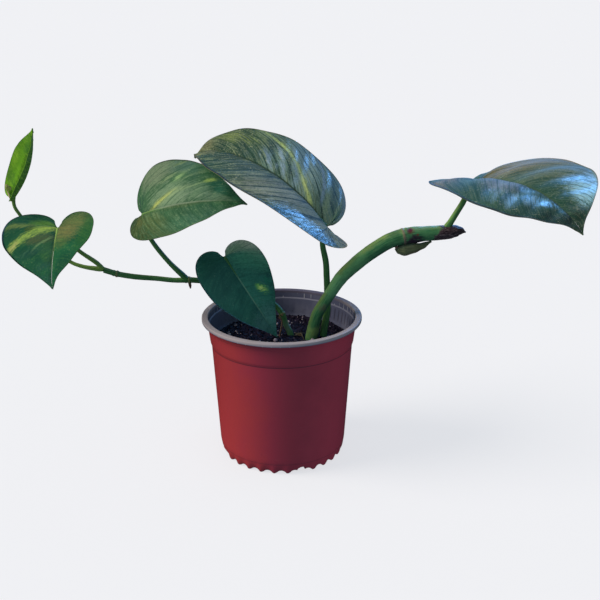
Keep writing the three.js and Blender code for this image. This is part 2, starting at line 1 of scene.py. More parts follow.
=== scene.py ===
import math
import random
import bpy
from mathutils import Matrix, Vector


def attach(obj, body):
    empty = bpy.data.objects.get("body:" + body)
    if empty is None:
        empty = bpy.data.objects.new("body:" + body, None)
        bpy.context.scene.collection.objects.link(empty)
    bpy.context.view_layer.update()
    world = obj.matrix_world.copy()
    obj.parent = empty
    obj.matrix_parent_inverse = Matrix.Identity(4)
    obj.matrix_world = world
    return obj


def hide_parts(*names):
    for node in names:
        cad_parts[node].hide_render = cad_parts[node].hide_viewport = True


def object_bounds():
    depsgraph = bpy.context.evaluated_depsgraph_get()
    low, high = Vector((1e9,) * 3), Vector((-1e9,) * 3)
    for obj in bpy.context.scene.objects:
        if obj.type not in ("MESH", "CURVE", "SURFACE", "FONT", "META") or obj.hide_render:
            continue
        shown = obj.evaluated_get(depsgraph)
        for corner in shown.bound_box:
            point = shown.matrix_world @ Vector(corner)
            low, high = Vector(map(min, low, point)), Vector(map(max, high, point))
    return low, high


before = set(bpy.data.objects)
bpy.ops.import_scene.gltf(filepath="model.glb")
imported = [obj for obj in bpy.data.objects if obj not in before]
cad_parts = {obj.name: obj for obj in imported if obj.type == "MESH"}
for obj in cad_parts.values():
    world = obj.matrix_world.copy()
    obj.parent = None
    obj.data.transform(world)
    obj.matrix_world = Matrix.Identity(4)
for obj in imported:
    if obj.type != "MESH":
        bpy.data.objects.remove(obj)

from types import SimpleNamespace

import bpy
import numpy as np
from mathutils import Vector, noise

cadBox = [list(corner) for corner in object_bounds()]
mm = 0.001
fullTurn = 2 * math.pi
print("frame loaded:", len(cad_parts), "nodes")

# Sizes below are in millimetres and degrees, in the part's own frame; a mesh is made in metres.
# Colours of surfaces are red, green and blue from 0 to 255; what a shader gets is linear.


def srgb(red, green, blue):
    shares = [value / 255 for value in (red, green, blue)]
    return tuple(s / 12.92 if s <= 0.04045 else ((s + 0.055) / 1.055) ** 2.4 for s in shares) + (1.0,)


def fed(node, inputs):
    for key, value in inputs.items():
        if isinstance(value, Value):
            node.id_data.links.new(value.socket, node.inputs[key])
        else:
            node.inputs[key].default_value = value


def added(tree, kind, inputs=None, output=0, **settings):
    node = tree.nodes.new(kind)
    for name, value in settings.items():
        setattr(node, name, value)
    fed(node, inputs or {})
    return Value(node.outputs[output])


# a Math node; at least one of the values is a node's output
def reckoned(operation, *values):
    tree = next(value.socket.id_data for value in values if isinstance(value, Value))
    return added(tree, "ShaderNodeMath", dict(enumerate(values)), operation=operation)


# a node's output that can be reckoned with: each step adds a node to the same tree
class Value:
    def __init__(self, socket):
        self.socket = socket

    def __abs__(self):
        return reckoned("ABSOLUTE", self)

    def node(self, kind, inputs, output=0, **settings):
        return added(self.socket.id_data, kind, inputs, output, **settings)

    def shaped(self, kind, inputs=None, **settings):
        return self.node("GeometryNode" + kind, {"Geometry": self, **(inputs or {})}, **settings)

    def smooth(self, low, high, toLow=0.0, toHigh=1.0):
        inputs = {"Value": self, "From Min": low, "From Max": high, "To Min": toLow, "To Max": toHigh}
        return self.node("ShaderNodeMapRange", inputs, interpolation_type="SMOOTHSTEP")

    def mix(self, *colours):
        a, b = (srgb(*c) if isinstance(c, tuple) and len(c) == 3 else c for c in colours)
        return self.node("ShaderNodeMix", {0: self, 6: a, 7: b}, 2, data_type="RGBA")

    def noise(self, scale=1.0, detail=4.0, roughness=0.55, distortion=0.0):
        labels = ("Vector", "Scale", "Detail", "Roughness", "Distortion")
        return self.node("ShaderNodeTexNoise", dict(zip(labels, (self, scale, detail, roughness, distortion))))

    def stretched(self, size, move=(0, 0, 0), turn=(0, 0, 0)):
        inputs = {"Vector": self, "Location": move, "Rotation": turn, "Scale": size}
        return self.node("ShaderNodeMapping", inputs)

    def scaled(self, size):
        return self.node("ShaderNodeVectorMath", {0: self, "Scale": size}, operation="SCALE")

    def split(self):
        parts = self.node("ShaderNodeSeparateXYZ", {0: self}).socket.node.outputs
        return [Value(part) for part in parts]


signs = {"add": "ADD", "sub": "SUBTRACT", "mul": "MULTIPLY", "truediv": "DIVIDE", "pow": "POWER"}
for sign, operation in signs.items():
    setattr(Value, f"__{sign}__", lambda a, b, operation=operation: reckoned(operation, a, b))
    setattr(Value, f"__r{sign}__", lambda a, b, operation=operation: reckoned(operation, b, a))


def combined(tree, x, y, z):
    return added(tree, "ShaderNodeCombineXYZ", {"X": x, "Y": y, "Z": z})


def attributeOf(tree, name, output="Vector"):
    return added(tree, "ShaderNodeAttribute", output=output, attribute_name=name)


def sortedNodes(tree):
    for step, node in enumerate(tree.nodes):
        node.location = (220 * (step % 9), -260 * (step // 9))


def newFinish(name):
    material = bpy.data.materials.new(name)
    material.use_nodes = True
    tree = material.node_tree
    return material, tree, added(tree, "ShaderNodeTexCoord", output="Object")


# relief is a height, how far it stands out in metres, and a strength
def dressed(material, colour, roughness, shine=0.5, relief=(), **more):
    inputs = {"Base Color": colour, "Roughness": roughness, "Specular IOR Level": shine, **more}
    if relief:
        labels = ("Height", "Distance", "Strength")
        inputs["Normal"] = relief[0].node("ShaderNodeBump", dict(zip(labels, relief)))
    fed(material.node_tree.nodes["Principled BSDF"], inputs)
    sortedNodes(material.node_tree)
    return material


def placed(name, data):
    piece = bpy.data.objects.new(name, data)
    bpy.context.scene.collection.objects.link(piece)
    return piece


def meshObject(name, points, faces, edges=()):
    mesh = bpy.data.meshes.new(name)
    mesh.from_pydata([tuple(p) for p in points], [tuple(e) for e in edges], [tuple(f) for f in faces])
    mesh.update()
    return placed(name, mesh)


def pointValues(mesh, name, values, kind="FLOAT"):
    key = "vector" if kind == "FLOAT_VECTOR" else "value"
    mesh.attributes.new(name, kind, "POINT").data.foreach_set(key, np.asarray(values, float).ravel())


# a node group with one input for each value, of the value's kind; one for a modifier gets a shape too
def newTree(name, values, kind="Geometry"):
    tree = bpy.data.node_groups.new(name, ("GeometryNodeTree" if kind == "Geometry" else "ShaderNodeTree"))
    if kind == "Geometry":
        tree.interface.new_socket("shape", in_out="INPUT", socket_type="NodeSocketGeometry")
    kinds = {int: "Int", float: "Float"}
    for label, value in values.items():
        ending = kinds.get(type(value), "Material")
        socket = tree.interface.new_socket(label, in_out="INPUT", socket_type="NodeSocket" + ending)
        if ending != "Material":
            socket.default_value = value
    tree.interface.new_socket("result", in_out="OUTPUT", socket_type="NodeSocket" + kind)
    sockets = tree.nodes.new("NodeGroupInput").outputs
    return tree, SimpleNamespace(**{socket.name: Value(socket) for socket in sockets if socket.name})


def closed(tree, result):
    fed(tree.nodes.new("NodeGroupOutput"), {0: result})
    sortedNodes(tree)
    return tree


def named(tree, name):
    return added(tree, "GeometryNodeInputNamedAttribute", {"Name": name})


def stored(shape, name, value, kind="FLOAT", domain="POINT"):
    return shape.shaped("StoreNamedAttribute", {"Name": name, "Value": value}, data_type=kind, domain=domain)


def compared(value, operation, limit):
    return value.node("FunctionNodeCompare", {0: value, 1: limit}, data_type="FLOAT", operation=operation)


def pushedOut(shape, distance):
    outwards = shape.node("GeometryNodeInputNormal", {})
    return shape.shaped("SetPosition", {"Offset": outwards.scaled(distance)})


# a random value for each point, a vector where its limits are vectors
def randomValue(tree, low, high, seed):
    kind, first, output = ("FLOAT_VECTOR", 0, 0) if isinstance(low, tuple) else ("FLOAT", 2, 1)
    inputs = {first: low, first + 1: high, "Seed": seed}
    return added(tree, "FunctionNodeRandomValue", inputs, output, data_type=kind)


# the tree is evaluated on a source object, kept as a plain mesh, and both source and modifier go
def grown(source, tree, name, values):
    modifier = source.modifiers.new(tree.name, "NODES")
    modifier.node_group = tree
    sockets = {item.name: item.identifier for item in tree.interface.items_tree if item.in_out == "INPUT"}
    for label, value in values.items():
        modifier[sockets[label]] = value
    source.update_tag()
    bpy.context.view_layer.update()
    depsgraph = bpy.context.evaluated_depsgraph_get()
    mesh = bpy.data.meshes.new_from_object(
        source.evaluated_get(depsgraph), preserve_all_data_layers=True, depsgraph=depsgraph
    )
    source.modifiers.remove(modifier)
    bpy.data.objects.remove(source)
    skins = [skin for skin in mesh.materials if skin]
    places = [skins.index(mesh.materials[face.material_index]) for face in mesh.polygons]
    mesh.materials.clear()
    for skin in skins:
        mesh.materials.append(skin)
    mesh.polygons.foreach_set("material_index", places)
    mesh.name = name
    return placed(name, mesh)


def joined(pieces, name):
    bpy.ops.object.select_all(action="DESELECT")
    for piece in pieces:
        piece.select_set(True)
    bpy.context.view_layer.objects.active = pieces[0]
    bpy.ops.object.join()
    pieces[0].name = name
    pieces[0].data.name = name
    return pieces[0]


# a ripple may not reach out of the CAD's box
def mounted(piece, slot, *nodes):
    for vertex in piece.data.vertices:
        vertex.co = [min(max(value, low), high) for value, low, high in zip(vertex.co, *cadBox)]
    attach(piece, "root")
    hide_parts(*nodes)
    faces = sum(len(face.vertices) - 2 for face in piece.data.polygons)
    print(f"  {piece.name}: {faces} triangles")


# camera, at the photograph's angle

view = {"aim": (13.62, 0, 121.24), "distance": 700, "elevation": 19.71, "lens": 56.218, "sensor": 36}


def addCamera():
    data = bpy.data.cameras.new("camera")
    data.lens = view["lens"]
    data.sensor_width = view["sensor"]
    data.clip_end = 100
    camera = placed("camera", data)
    tilt = math.radians(view["elevation"])
    back = Vector((0, -math.cos(tilt), math.sin(tilt)))
    camera.location = (Vector(view["aim"]) + view["distance"] * back) * mm
    camera.rotation_euler = (-back).to_track_quat("-Z", "Y").to_euler()
    bpy.context.scene.camera = camera


# panels only show as gloss: a place, the point they face, size in metres, watts and colour
# the sun and the surround give the shade; the sun stands at a turn from +Y towards +X and at a rise

panels = {
    "blueWindow": {
        "place": (275, 250, 400), "faces": (230, -300, 330), "size": 0.28, "power": 3.9,
        "colour": (0.14, 0.42, 1.0),
    },
    "blueSky": {
        "place": (70, -140, 900), "faces": (20, 0, 190), "size": 0.24, "power": 2.4,
        "colour": (0.4, 0.6, 1.0),
    },
}
sun = {"turn": -97, "rise": 38, "spread": 34, "strength": 3.5, "colour": (1.0, 0.84, 0.68)}
surround = {"colour": (0.74, 0.88, 1.0, 1.0), "strength": 0.36}
floorLook = {
    "size": 40, "colour": srgb(122, 126, 132), "grain": 0.985, "glow": 0.72,
    "glowColour": srgb(250, 251, 255), "roughness": 0.8,
}


def addLamp(name, kind, look, towards):
    data = bpy.data.lights.new(name, kind)
    data.color = look["colour"]
    lamp = placed(name, data)
    lamp.rotation_euler = towards.to_track_quat("Z", "Y").to_euler()
    return lamp, data


def addLights():
    for name, look in panels.items():
        place = Vector(look["place"])
        lamp, data = addLamp(name, "AREA", look, place - Vector(look["faces"]))
        data.size = look["size"]
        data.energy = look["power"]
        lamp.location = place * mm
        lamp.visible_diffuse = False
        lamp.visible_camera = False
    turn, rise = math.radians(sun["turn"]), math.radians(sun["rise"])
    towards = Vector((math.sin(turn) * math.cos(rise), math.cos(turn) * math.cos(rise), math.sin(rise)))
    lamp, data = addLamp("sun", "SUN", sun, towards)
    data.energy = sun["strength"]
    data.angle = math.radians(sun["spread"])
    lamp.visible_glossy = False
    world = bpy.data.worlds.new("surround")
    world.use_nodes = True
    fed(world.node_tree.nodes["Background"], {"Color": surround["colour"], "Strength": surround["strength"]})
    world.cycles_visibility.glossy = False
    bpy.context.scene.world = world
    bpy.context.scene.view_settings.view_transform = "Standard"


def addFloor():
    half = floorLook["size"] / 2
    corners = [(-half, -half, 0), (half, -half, 0), (half, half, 0), (-half, half, 0)]
    plate = meshObject("floor", corners, [(0, 1, 2, 3)])
    material, _, spot = newFinish("paleFloor")
    darker = tuple(floorLook["grain"] * value for value in floorLook["colour"][:3]) + (1.0,)
    colour = spot.noise(60, 3).mix(floorLook["colour"], darker)
    glow = {"Emission Color": floorLook["glowColour"], "Emission Strength": floorLook["glow"]}
    plate.data.materials.append(dressed(material, colour, floorLook["roughness"], 0.0, **glow))
    plate.visible_diffuse = False
    plate.visible_glossy = False


addCamera()
addLights()
addFloor()
print("camera, light and floor are in place")

# leaves: the same outlines and folds as the solids, with veins pressed into the blade

leafDetail = {
    "thickness": 0.45, "columnsPerVein": 8, "rows": 26, "rowSpread": 1.35, "midribSteps": 24,
    "tipFrom": 0.7, "sweep": 0.55, "bowAlong": 0.3, "bowAcross": 0.62, "midribDepth": 0.55,
    "midribWidth": 1.5, "ribWidth": 1.3, "crease": 0.25, "sinus": 0.14, "lobeColumns": 4, "lobeFoot": 0.12,
    "lobeBow": 0.72, "lobeLean": 0.064, "neck": 0.22, "edgeWobble": 0.0105, "wobblePace": 0.9,
    "wobbleApart": 7.3, "wavePace": 1.9, "ripple": 0.09,
    "jointDrop": 0.9, "jointOnwards": 0.6, "jointRadius": 0.94, "ribTop": 0.5,
    "ribRun": [(4, 0.62, 0.62), (11, 0.4, 0.36), (22, 0.28, 0.16)],
}

leaves = {
    "leaf_right": {
        "base": (142.2, 0, 211.6), "yaw": -51.8, "pitch": 15.9, "roll": 1.5, "length": 106.3, "bend": -47.3,
        "swerve": -17.9, "twist": -16.6, "tipBend": -7,
        "left": {
            "width": 45.7, "back": 16.4, "fold": 26.3, "curl": -33.1, "wide": 0.31, "full": 0.69, "tip": 0.17,
            "lift": -1.1, "sway": -1.7, "swayAt": 0.51, "lean": 2.5,
        },
        "right": {
            "width": 49.3, "back": 22.3, "fold": 17.7, "curl": -35.1, "wide": 0.26, "full": 0.72, "tip": 0.19,
            "lift": 0.6, "lean": 3,
        },
        "sideColumns": 12, "pleat": 0.7, "wave": 0.5, "rib": 1.2, "knuckle": 2,
        "stalk": [
            (117, 0, 173.6, 2.5), (120.5, 0, 177.2, 2.9), (123.3, 0, 182, 2.3), (126.4, 0, 187.6, 2.2),
            (130.2, 0, 194.4, 2.1), (134.2, 0, 202, 2),
        ],
    },
    "leaf_top": {
        "base": (33.5, -2, 178.5), "yaw": 172.8, "pitch": 55.1, "roll": 23, "length": 127.8, "bend": -66.6,
        "swerve": -6.5, "twist": 28.8, "tipBend": -34.3,
        "left": {
            "width": 45.2, "back": 14, "fold": 32.3, "curl": -27.4, "wide": 0.29, "full": 0.72, "tip": 0.38,
            "lift": 3.1, "sway": -1, "swayAt": 0.34,
        },
        "right": {
            "width": 46, "back": 2.3, "fold": 21.5, "curl": -49.9, "wide": 0.19, "full": 0.62, "tip": 0.19,
            "lift": -1.2, "sway": -0.5, "swayAt": 0.55, "lean": 3.7,
        },
        "sideColumns": 12, "pleat": 0.7, "wave": 0.5, "rib": 1.3, "knuckle": 2.2,
        "stalk": [
            (30, 0, 60, 2.4), (31.2, 1.5, 91.5, 2.8), (32.9, 4.2, 102.1, 2.7), (34.3, 6.9, 112, 2.6),
            (34.2, 8, 124.8, 2.5), (33.6, 7, 137, 2.4), (32.8, 5, 149.4, 2.3), (30.1, 1, 165.2, 2.05),
        ],
    },
    "leaf_front": {
        "base": (-41.8, 2, 154.2), "yaw": -28.7, "pitch": -51.4, "roll": -42, "length": 73.1, "bend": -20.4,
        "swerve": 4.8, "twist": 14.9, "tipBend": -3.2,
        "left": {
            "width": 26.6, "back": 6.5, "fold": 2.3, "curl": -12.4, "wide": 0.2, "full": 0.47, "tip": 0.14,
        },
        "right": {
            "width": 27.9, "back": 10.2, "fold": 6.2, "curl": 4.2, "wide": 0.18, "full": 0.46, "tip": 0.17,
        },
        "sideColumns": 9, "pleat": 0.2, "wave": 0.3, "rib": 0.9, "knuckle": 1.8,
        "stalk": [
            (-29.8, 12.5, 125.1, 1.7), (-31.8, 12.4, 130, 1.9), (-35.5, 10.8, 140.5, 1.6),
            (-39.6, 7, 149.5, 1.5),
        ],
    },
    "leaf_upper_left": {
        "base": (-101.1, 0, 187), "yaw": -21, "pitch": 23.9, "roll": -37.3, "length": 81.2, "bend": -38.9,
        "swerve": 2.8, "twist": 1, "tipBend": -17.1,
        "left": {
            "width": 40.9, "back": 3.3, "fold": 17.3, "curl": -14, "wide": 0.2, "full": 0.58, "tip": 0.15,
            "lean": 4,
        },
        "right": {
            "width": 27.2, "back": 7.9, "fold": 9.7, "curl": -29.1, "wide": 0.21, "full": 0.52, "tip": 0.19,
        },
        "sideColumns": 10, "pleat": 0.3, "wave": 0.4, "rib": 1, "knuckle": 2,
        "stalk": [
            (-70.4, 6.9, 135.2, 1.9), (-74.6, 6, 139.4, 2.2), (-84.8, 4, 151.3, 1.8), (-95.1, 3, 166.4, 1.7),
            (-100.3, 2.5, 178.5, 1.7),
        ],
    },
    "leaf_left": {
        "base": (-162.4, 0, 177.4), "yaw": -88.9, "pitch": -23.7, "roll": -8.3, "length": 61.6, "bend": -8.6,
        "swerve": 9.3, "twist": 0.2, "tipBend": -9.6,
        "left": {
            "width": 30.3, "back": 10.8, "fold": 21.1, "curl": -20.2, "wide": 0.19, "full": 0.47, "tip": 0.08,
        },
        "right": {
            "width": 37.4, "back": 12.1, "fold": 17.4, "curl": -5.8, "wide": 0.16, "full": 0.48, "tip": 0.13,
            "lean": 2,
        },
        "sideColumns": 9, "pleat": 0.3, "wave": 0.4, "rib": 0.9, "knuckle": 1.8,
        "stalk": [
            (-132.4, 4.4, 144.2, 1.5), (-137.3, 4, 149.2, 1.7), (-149.2, 3, 158.7, 1.5),
            (-157.7, 2.2, 168.7, 1.4),
        ],
    },
    "leaf_young": {
        "base": (-196.3, 10, 197.9), "yaw": 14.5, "pitch": 49.6, "roll": -36.2, "length": 55.2, "bend": 45.5,
        "swerve": 9.7, "twist": -2.8, "tipBend": -12.9,
        "left": {
            "width": 13.5, "back": 1.7, "fold": 14.3, "curl": 34.1, "wide": 0.46, "full": 0.67, "tip": 0.09,
        },
        "right": {
            "width": 9.4, "back": 3.7, "fold": 31.2, "curl": 50, "wide": 0.35, "full": 0.71, "tip": 0.18,
        },
        "sideColumns": 9, "pleat": 0.15, "wave": 0.2, "rib": 0.6, "knuckle": 1.4,
        "stalk": [
            (-132.6, 5.6, 143.3, 1.5), (-137.1, 7, 143.4, 1.9), (-148.7, 9, 144.6, 1.5),
            (-158.2, 11, 147.6, 1.4), (-173, 13, 159.4, 1.3), (-186.7, 14, 174.5, 1.25),
            (-193.1, 13.5, 183.1, 1.25), (-196, 11.5, 190.6, 1.3),
        ],
    },
}

youngSheath = {
    "base": (-196.6, 10.6, 195.2), "yaw": 160, "pitch": 68, "roll": 20, "length": 12, "bend": 10, "swerve": 0,
    "twist": 0, "tipBend": 0,
    "left": {"width": 3, "back": 0.8, "fold": 30, "curl": 30, "wide": 0.4, "full": 0.6, "tip": 0.4},
    "right": {"width": 3, "back": 0.8, "fold": 30, "curl": 30, "wide": 0.4, "full": 0.6, "tip": 0.4},
    "sideColumns": 4, "pleat": 0, "wave": 0.4, "rib": 0.2,
}


# origin, along, across and up of the midrib at the distances s from the base
def midribAt(leaf, s):
    names = ("yaw", "pitch", "roll", "bend", "swerve", "twist", "tipBend")
    yaw, pitch, roll, bend, swerve, twist, tipBend = (math.radians(leaf[name]) for name in names)
    ahead = np.array((math.cos(pitch) * math.cos(yaw), math.cos(pitch) * math.sin(yaw), math.sin(pitch)))
    level = np.array((-math.sin(yaw), math.cos(yaw), 0))
    across = level * math.cos(roll) - np.cross(ahead, level) * math.sin(roll)
    up = np.cross(ahead, across)

    def turnsAt(d):
        share = d / leaf["length"]
        nearTip = np.maximum(0, (share - leafDetail["tipFrom"]) / (1 - leafDetail["tipFrom"]))
        return bend * share + tipBend * nearTip**2, swerve * share, twist * np.clip(share, -1, 1)

    def blended(a, b, c):
        return a[..., None] * ahead + b[..., None] * across + c[..., None] * up

    def directionAt(d):
        arch, veer, _ = turnsAt(d)
        return blended(np.cos(arch) * np.cos(veer), np.cos(arch) * np.sin(veer), np.sin(arch))

    count = leafDetail["midribSteps"]
    steps = (np.arange(count) + 0.5) / count
    strides = directionAt(s[..., None] * steps) * (s / count)[..., None, None]
    arch, veer, turn = turnsAt(s)
    normal = blended(-np.sin(arch) * np.cos(veer), -np.sin(arch) * np.sin(veer), np.cos(arch))
    beside = blended(-np.sin(veer), np.cos(veer), np.zeros_like(veer))
    cosTurn, sinTurn = np.cos(turn)[..., None], np.sin(turn)[..., None]
    origin = np.array(leaf["base"]) + strides.sum(-2)
    return origin, directionAt(s), beside * cosTurn - normal * sinTurn, normal * cosTurn + beside * sinTurn


def cubicBezier(points, t):
    a, b, c, d = (np.array(point, float) for point in points)
    t = t[:, None]
    return (1 - t) ** 3 * a + 3 * (1 - t) ** 2 * t * b + 3 * (1 - t) * t**2 * c + t**3 * d


# the handles reach back so far that the lobe's curve comes to the half's "back"
def marginOf(leaf, half, which):
    length, width = leaf["length"], half["width"]
    widest = half["wide"] * length
    reach = (half["back"] + leafDetail["lobeLean"] * widest) / leafDetail["lobeBow"]
    shoulder = widest + half["full"] * (length - widest)
    neck = length - leafDetail["neck"] * (length - widest)
    perVein = leafDetail["columnsPerVein"]
    lobeShares = np.linspace(leafDetail["sinus"], 1, leafDetail["lobeColumns"] * perVein + 1)
    sideShares = np.linspace(0, 1, leaf["sideColumns"] * perVein + 1)[1:]
    lobe = [(0, 0), (-reach, leafDetail["lobeFoot"] * width), (-reach, width), (widest, width)]
    side = [(widest, width), (shoulder, width), (neck, half["tip"] * width), (length, 0)]
    margin = np.vstack([cubicBezier(lobe, lobeShares), cubicBezier(side, sideShares)])
    places = leafDetail["wobblePace"] * np.arange(len(margin)) / perVein
    wobble = [noise.noise(Vector((place, leafDetail["wobbleApart"] * which, length))) for place in places]
    margin[:, 1] *= 1 + leafDetail["edgeWobble"] * np.array(wobble)
    return margin


# how far the blade stands off its fold (pleats between side veins, waves, ripples and a half's sway), and the
# ribs on its underside
def reliefOf(leaf, half, which, x, c, s, fade):
    crease = np.abs(np.cos(math.pi * c / 2)) ** 3
    leaned = c - half.get("lean", 0) * s
    fine = np.abs(np.sin(math.pi * leaned)) ** 0.7 + 0.5 * np.abs(np.sin(2 * math.pi * leaned + 0.6))
    body = np.sin(math.pi * s**0.8)
    sway = half.get("sway", 0) * np.cos(fullTurn * (x / leaf["length"] - half.get("swayAt", 0)))
    height = leaf["pleat"] * (1 - 2 * crease) * body + leafDetail["ripple"] * fine * body
    height = height + leaf["wave"] * np.sin(leafDetail["wavePace"] * c + which) * s * s
    return height * fade + sway * s * s, leafDetail["crease"] * crease * body * fade


# the blade's two faces as grids for each half, with what the leaf's colours follow
def bladeGrids(leaf):
    detail = leafDetail
    margins = [marginOf(leaf, leaf[key], which) for which, key in enumerate(("left", "right"))]
    middle = (margins[0] + margins[1]) / 2
    footX = np.maximum(0, middle[:, 0] - detail["sweep"] * middle[:, 1])
    share = (np.linspace(0, 1, detail["rows"] + 1) ** detail["rowSpread"])[None, :, None]
    vein = np.arange(len(footX)) / detail["columnsPerVein"]
    grids = []
    for which, key in enumerate(("left", "right")):
        half, end, side = leaf[key], margins[which], 1 - 2 * which
        foot = np.stack([footX, 0 * footX], 1)[:, None]
        bowX = footX + (end[:, 0] - footX) * detail["bowAlong"]
        bow = np.stack([bowX, end[:, 1] * detail["bowAcross"]], 1)[:, None]
        flat = (1 - share) ** 2 * foot + 2 * share * (1 - share) * bow + share**2 * end[:, None]
        x, y = flat[..., 0], flat[..., 1]
        origin, _, across, up = midribAt(leaf, x)
        bendPerWidth = math.radians(half["curl"]) / half["width"]
        start = math.radians(half["fold"])
        slope = start + bendPerWidth * y
        out = (np.sin(slope) - math.sin(start)) / bendPerWidth
        rise = (math.cos(start) - np.cos(slope)) / bendPerWidth
        rise = rise + half.get("lift", 0) * np.clip(-x / 10, 0, 2) ** 2
        normal = up * np.cos(slope)[..., None] - side * across * np.sin(slope)[..., None]
        c = np.broadcast_to(vein[:, None], x.shape)
        s = np.broadcast_to(share[..., 0], x.shape)
        fade = np.clip(vein[-1] - c, 0, 1)
        height, crease = reliefOf(leaf, half, which, x, c, s, fade)
        taper = np.clip(1 - x / leaf["length"], 0, 1)
        groove = detail["midribDepth"] * np.exp(-((y / detail["midribWidth"]) ** 2))
        height = height - groove * taper**0.6 * fade
        point = origin + side * across * out[..., None] + up * rise[..., None] + normal * height[..., None]
        rib = leaf["rib"] * taper * np.exp(-((y / detail["ribWidth"]) ** 2)) + crease
        under = point - normal * (detail["thickness"] + groove + rib)[..., None]
        grids.append({"top": point, "under": under, "x": x, "y": side * y, "vein": c, "share": side * s})
    return grids


# points on the midrib and at the tip are shared by the two halves
def bladeObject(name, leaf):
    points, values, veins, faces, known = [], [], [], [], {}
    grids = bladeGrids(leaf)

    def pointAt(grid, width, key, *at):
        place = grid[key][at] * mm
        shared = at[1] == 0 or at[0] == len(grid["x"]) - 1
        tag = (key, *np.round(place, 7)) if shared else len(points)
        if tag not in known:
            known[tag] = len(points)
            points.append(place)
            values.append((grid["x"][at] / leaf["length"], grid["y"][at] / width, float(key == "under")))
            veins.append((grid["vein"][at], grid["share"][at], 0))
        return known[tag]

    def addFace(corners):
        apart = [v for k, v in enumerate(corners) if v != corners[k - 1]]
        if len(apart) > 2:
            faces.append(tuple(apart))

    for which, (grid, half) in enumerate(zip(grids, (leaf["left"], leaf["right"]))):
        columns, rows = grid["x"].shape
        for key in ("top", "under"):
            index = [
                [pointAt(grid, half["width"], key, column, row) for row in range(rows)]
                for column in range(columns)
            ]
            order = 1 if (key == "top") == (which == 0) else -1
            for here, after in zip(index, index[1:]):
                for row in range(rows - 1):
                    addFace([here[row], after[row], after[row + 1], here[row + 1]][::order])
            grid[key + "Index"] = index
    for which, grid in enumerate(grids):
        top, under = grid["topIndex"], grid["underIndex"]
        rim = list(zip(top[0], under[0])) + [(top[i][-1], under[i][-1]) for i in range(1, len(top))]
        for (a, b), (c, d) in zip(rim, rim[1:]):
            addFace([a, b, d, c] if which == 0 else [a, c, d, b])
    blade = meshObject(name, points, faces)
    pointValues(blade.data, "bladePlace", values, "FLOAT_VECTOR")
    pointValues(blade.data, "veinPlace", veins, "FLOAT_VECTOR")
    blade.data.polygons.foreach_set("use_smooth", [True] * len(faces))
    return blade


# stems, stalks and roots: one tree makes a tube along a path, with its own place attribute


def stemTree():
    inputs = {"sides": 16, "lumpHeight": 0.0001, "lumpSize": 0.004, "seed": 1.0, "skin": None}
    tree, given = newTree("stemAlongPath", inputs)
    curve = added(tree, "GeometryNodeMeshToCurve", {0: given.shape})
    ring = added(tree, "GeometryNodeCurvePrimitiveCircle", {"Resolution": given.sides, "Radius": 1.0})
    ring = stored(ring, "around", added(tree, "GeometryNodeSplineParameter", output="Factor"))
    run = {"Curve": curve, "Profile Curve": ring, "Scale": named(tree, "radius"), "Fill Caps": True}
    tube = added(tree, "GeometryNodeCurveToMesh", run)
    turn = named(tree, "around") * fullTurn
    place = combined(tree, named(tree, "along"), reckoned("COSINE", turn), reckoned("SINE", turn))
    tube = stored(tube, "stemPlace", place, "FLOAT_VECTOR")
    where = added(tree, "GeometryNodeInputPosition")
    wrinkles = {"Vector": where, "W": given.seed, "Scale": 1 / given.lumpSize, "Detail": 3.0}
    lumps = added(tree, "ShaderNodeTexNoise", wrinkles, noise_dimensions="4D")
    tube = pushedOut(tube, (lumps - 0.5) * given.lumpHeight)
    tube = tube.shaped("SetShadeSmooth").shaped("RealizeInstances")
    return closed(tree, tube.shaped("SetMaterial", {"Material": given.skin}))


stemNodes = stemTree()


def between(t, low, high, a, b):
    return (high - t) / (high - low) * a + (t - low) / (high - low) * b


# a smooth curve through the route, in even steps, as points, radii and lengths in millimetres
def smoothRoute(route, step, samples=40):
    points = np.array([p[:3] for p in route], float)
    radii = np.array([p[3] for p in route], float)
    padded = np.vstack([2 * points[0] - points[1], points, 2 * points[-1] - points[-2]])
    fine, fineRadii, marks = [], [], []
    for i in range(len(points) - 1):
        p = padded[i : i + 4]
        gaps = np.maximum(1e-4, np.linalg.norm(np.diff(p, axis=0), axis=1) ** 0.5)
        t0, t1, t2, t3 = 0, gaps[0], gaps[0] + gaps[1], gaps.sum()
        t = np.linspace(t1, t2, samples, endpoint=i == len(points) - 2)[:, None]
        a1, a2 = between(t, t0, t1, p[0], p[1]), between(t, t1, t2, p[1], p[2])
        a3 = between(t, t2, t3, p[2], p[3])
        b1, b2 = between(t, t0, t2, a1, a2), between(t, t1, t3, a2, a3)
        marks.append(len(fine))
        fine.extend(between(t, t1, t2, b1, b2))
        ease = ((t - t1) / (t2 - t1))[:, 0]
        fineRadii.extend(radii[i] + (radii[i + 1] - radii[i]) * ease * ease * (3 - 2 * ease))
    marks.append(len(fine) - 1)
    fine = np.array(fine)
    lengths = np.concatenate([[0], np.cumsum(np.linalg.norm(np.diff(fine, axis=0), axis=1))])
    even = np.linspace(0, lengths[-1], max(4, int(lengths[-1] / step)))
    spots = np.stack([np.interp(even, lengths, fine[:, k]) for k in range(3)], 1)
    return spots, np.interp(even, lengths, fineRadii), even, lengths[marks]


# the rings of a node: how far on along the stem, how wide, and their share of the ridge's height
nodeRings = ((0, 0.8, 1), (2.2, 0.7, 0.5), (1.1, 0.45, -0.35))


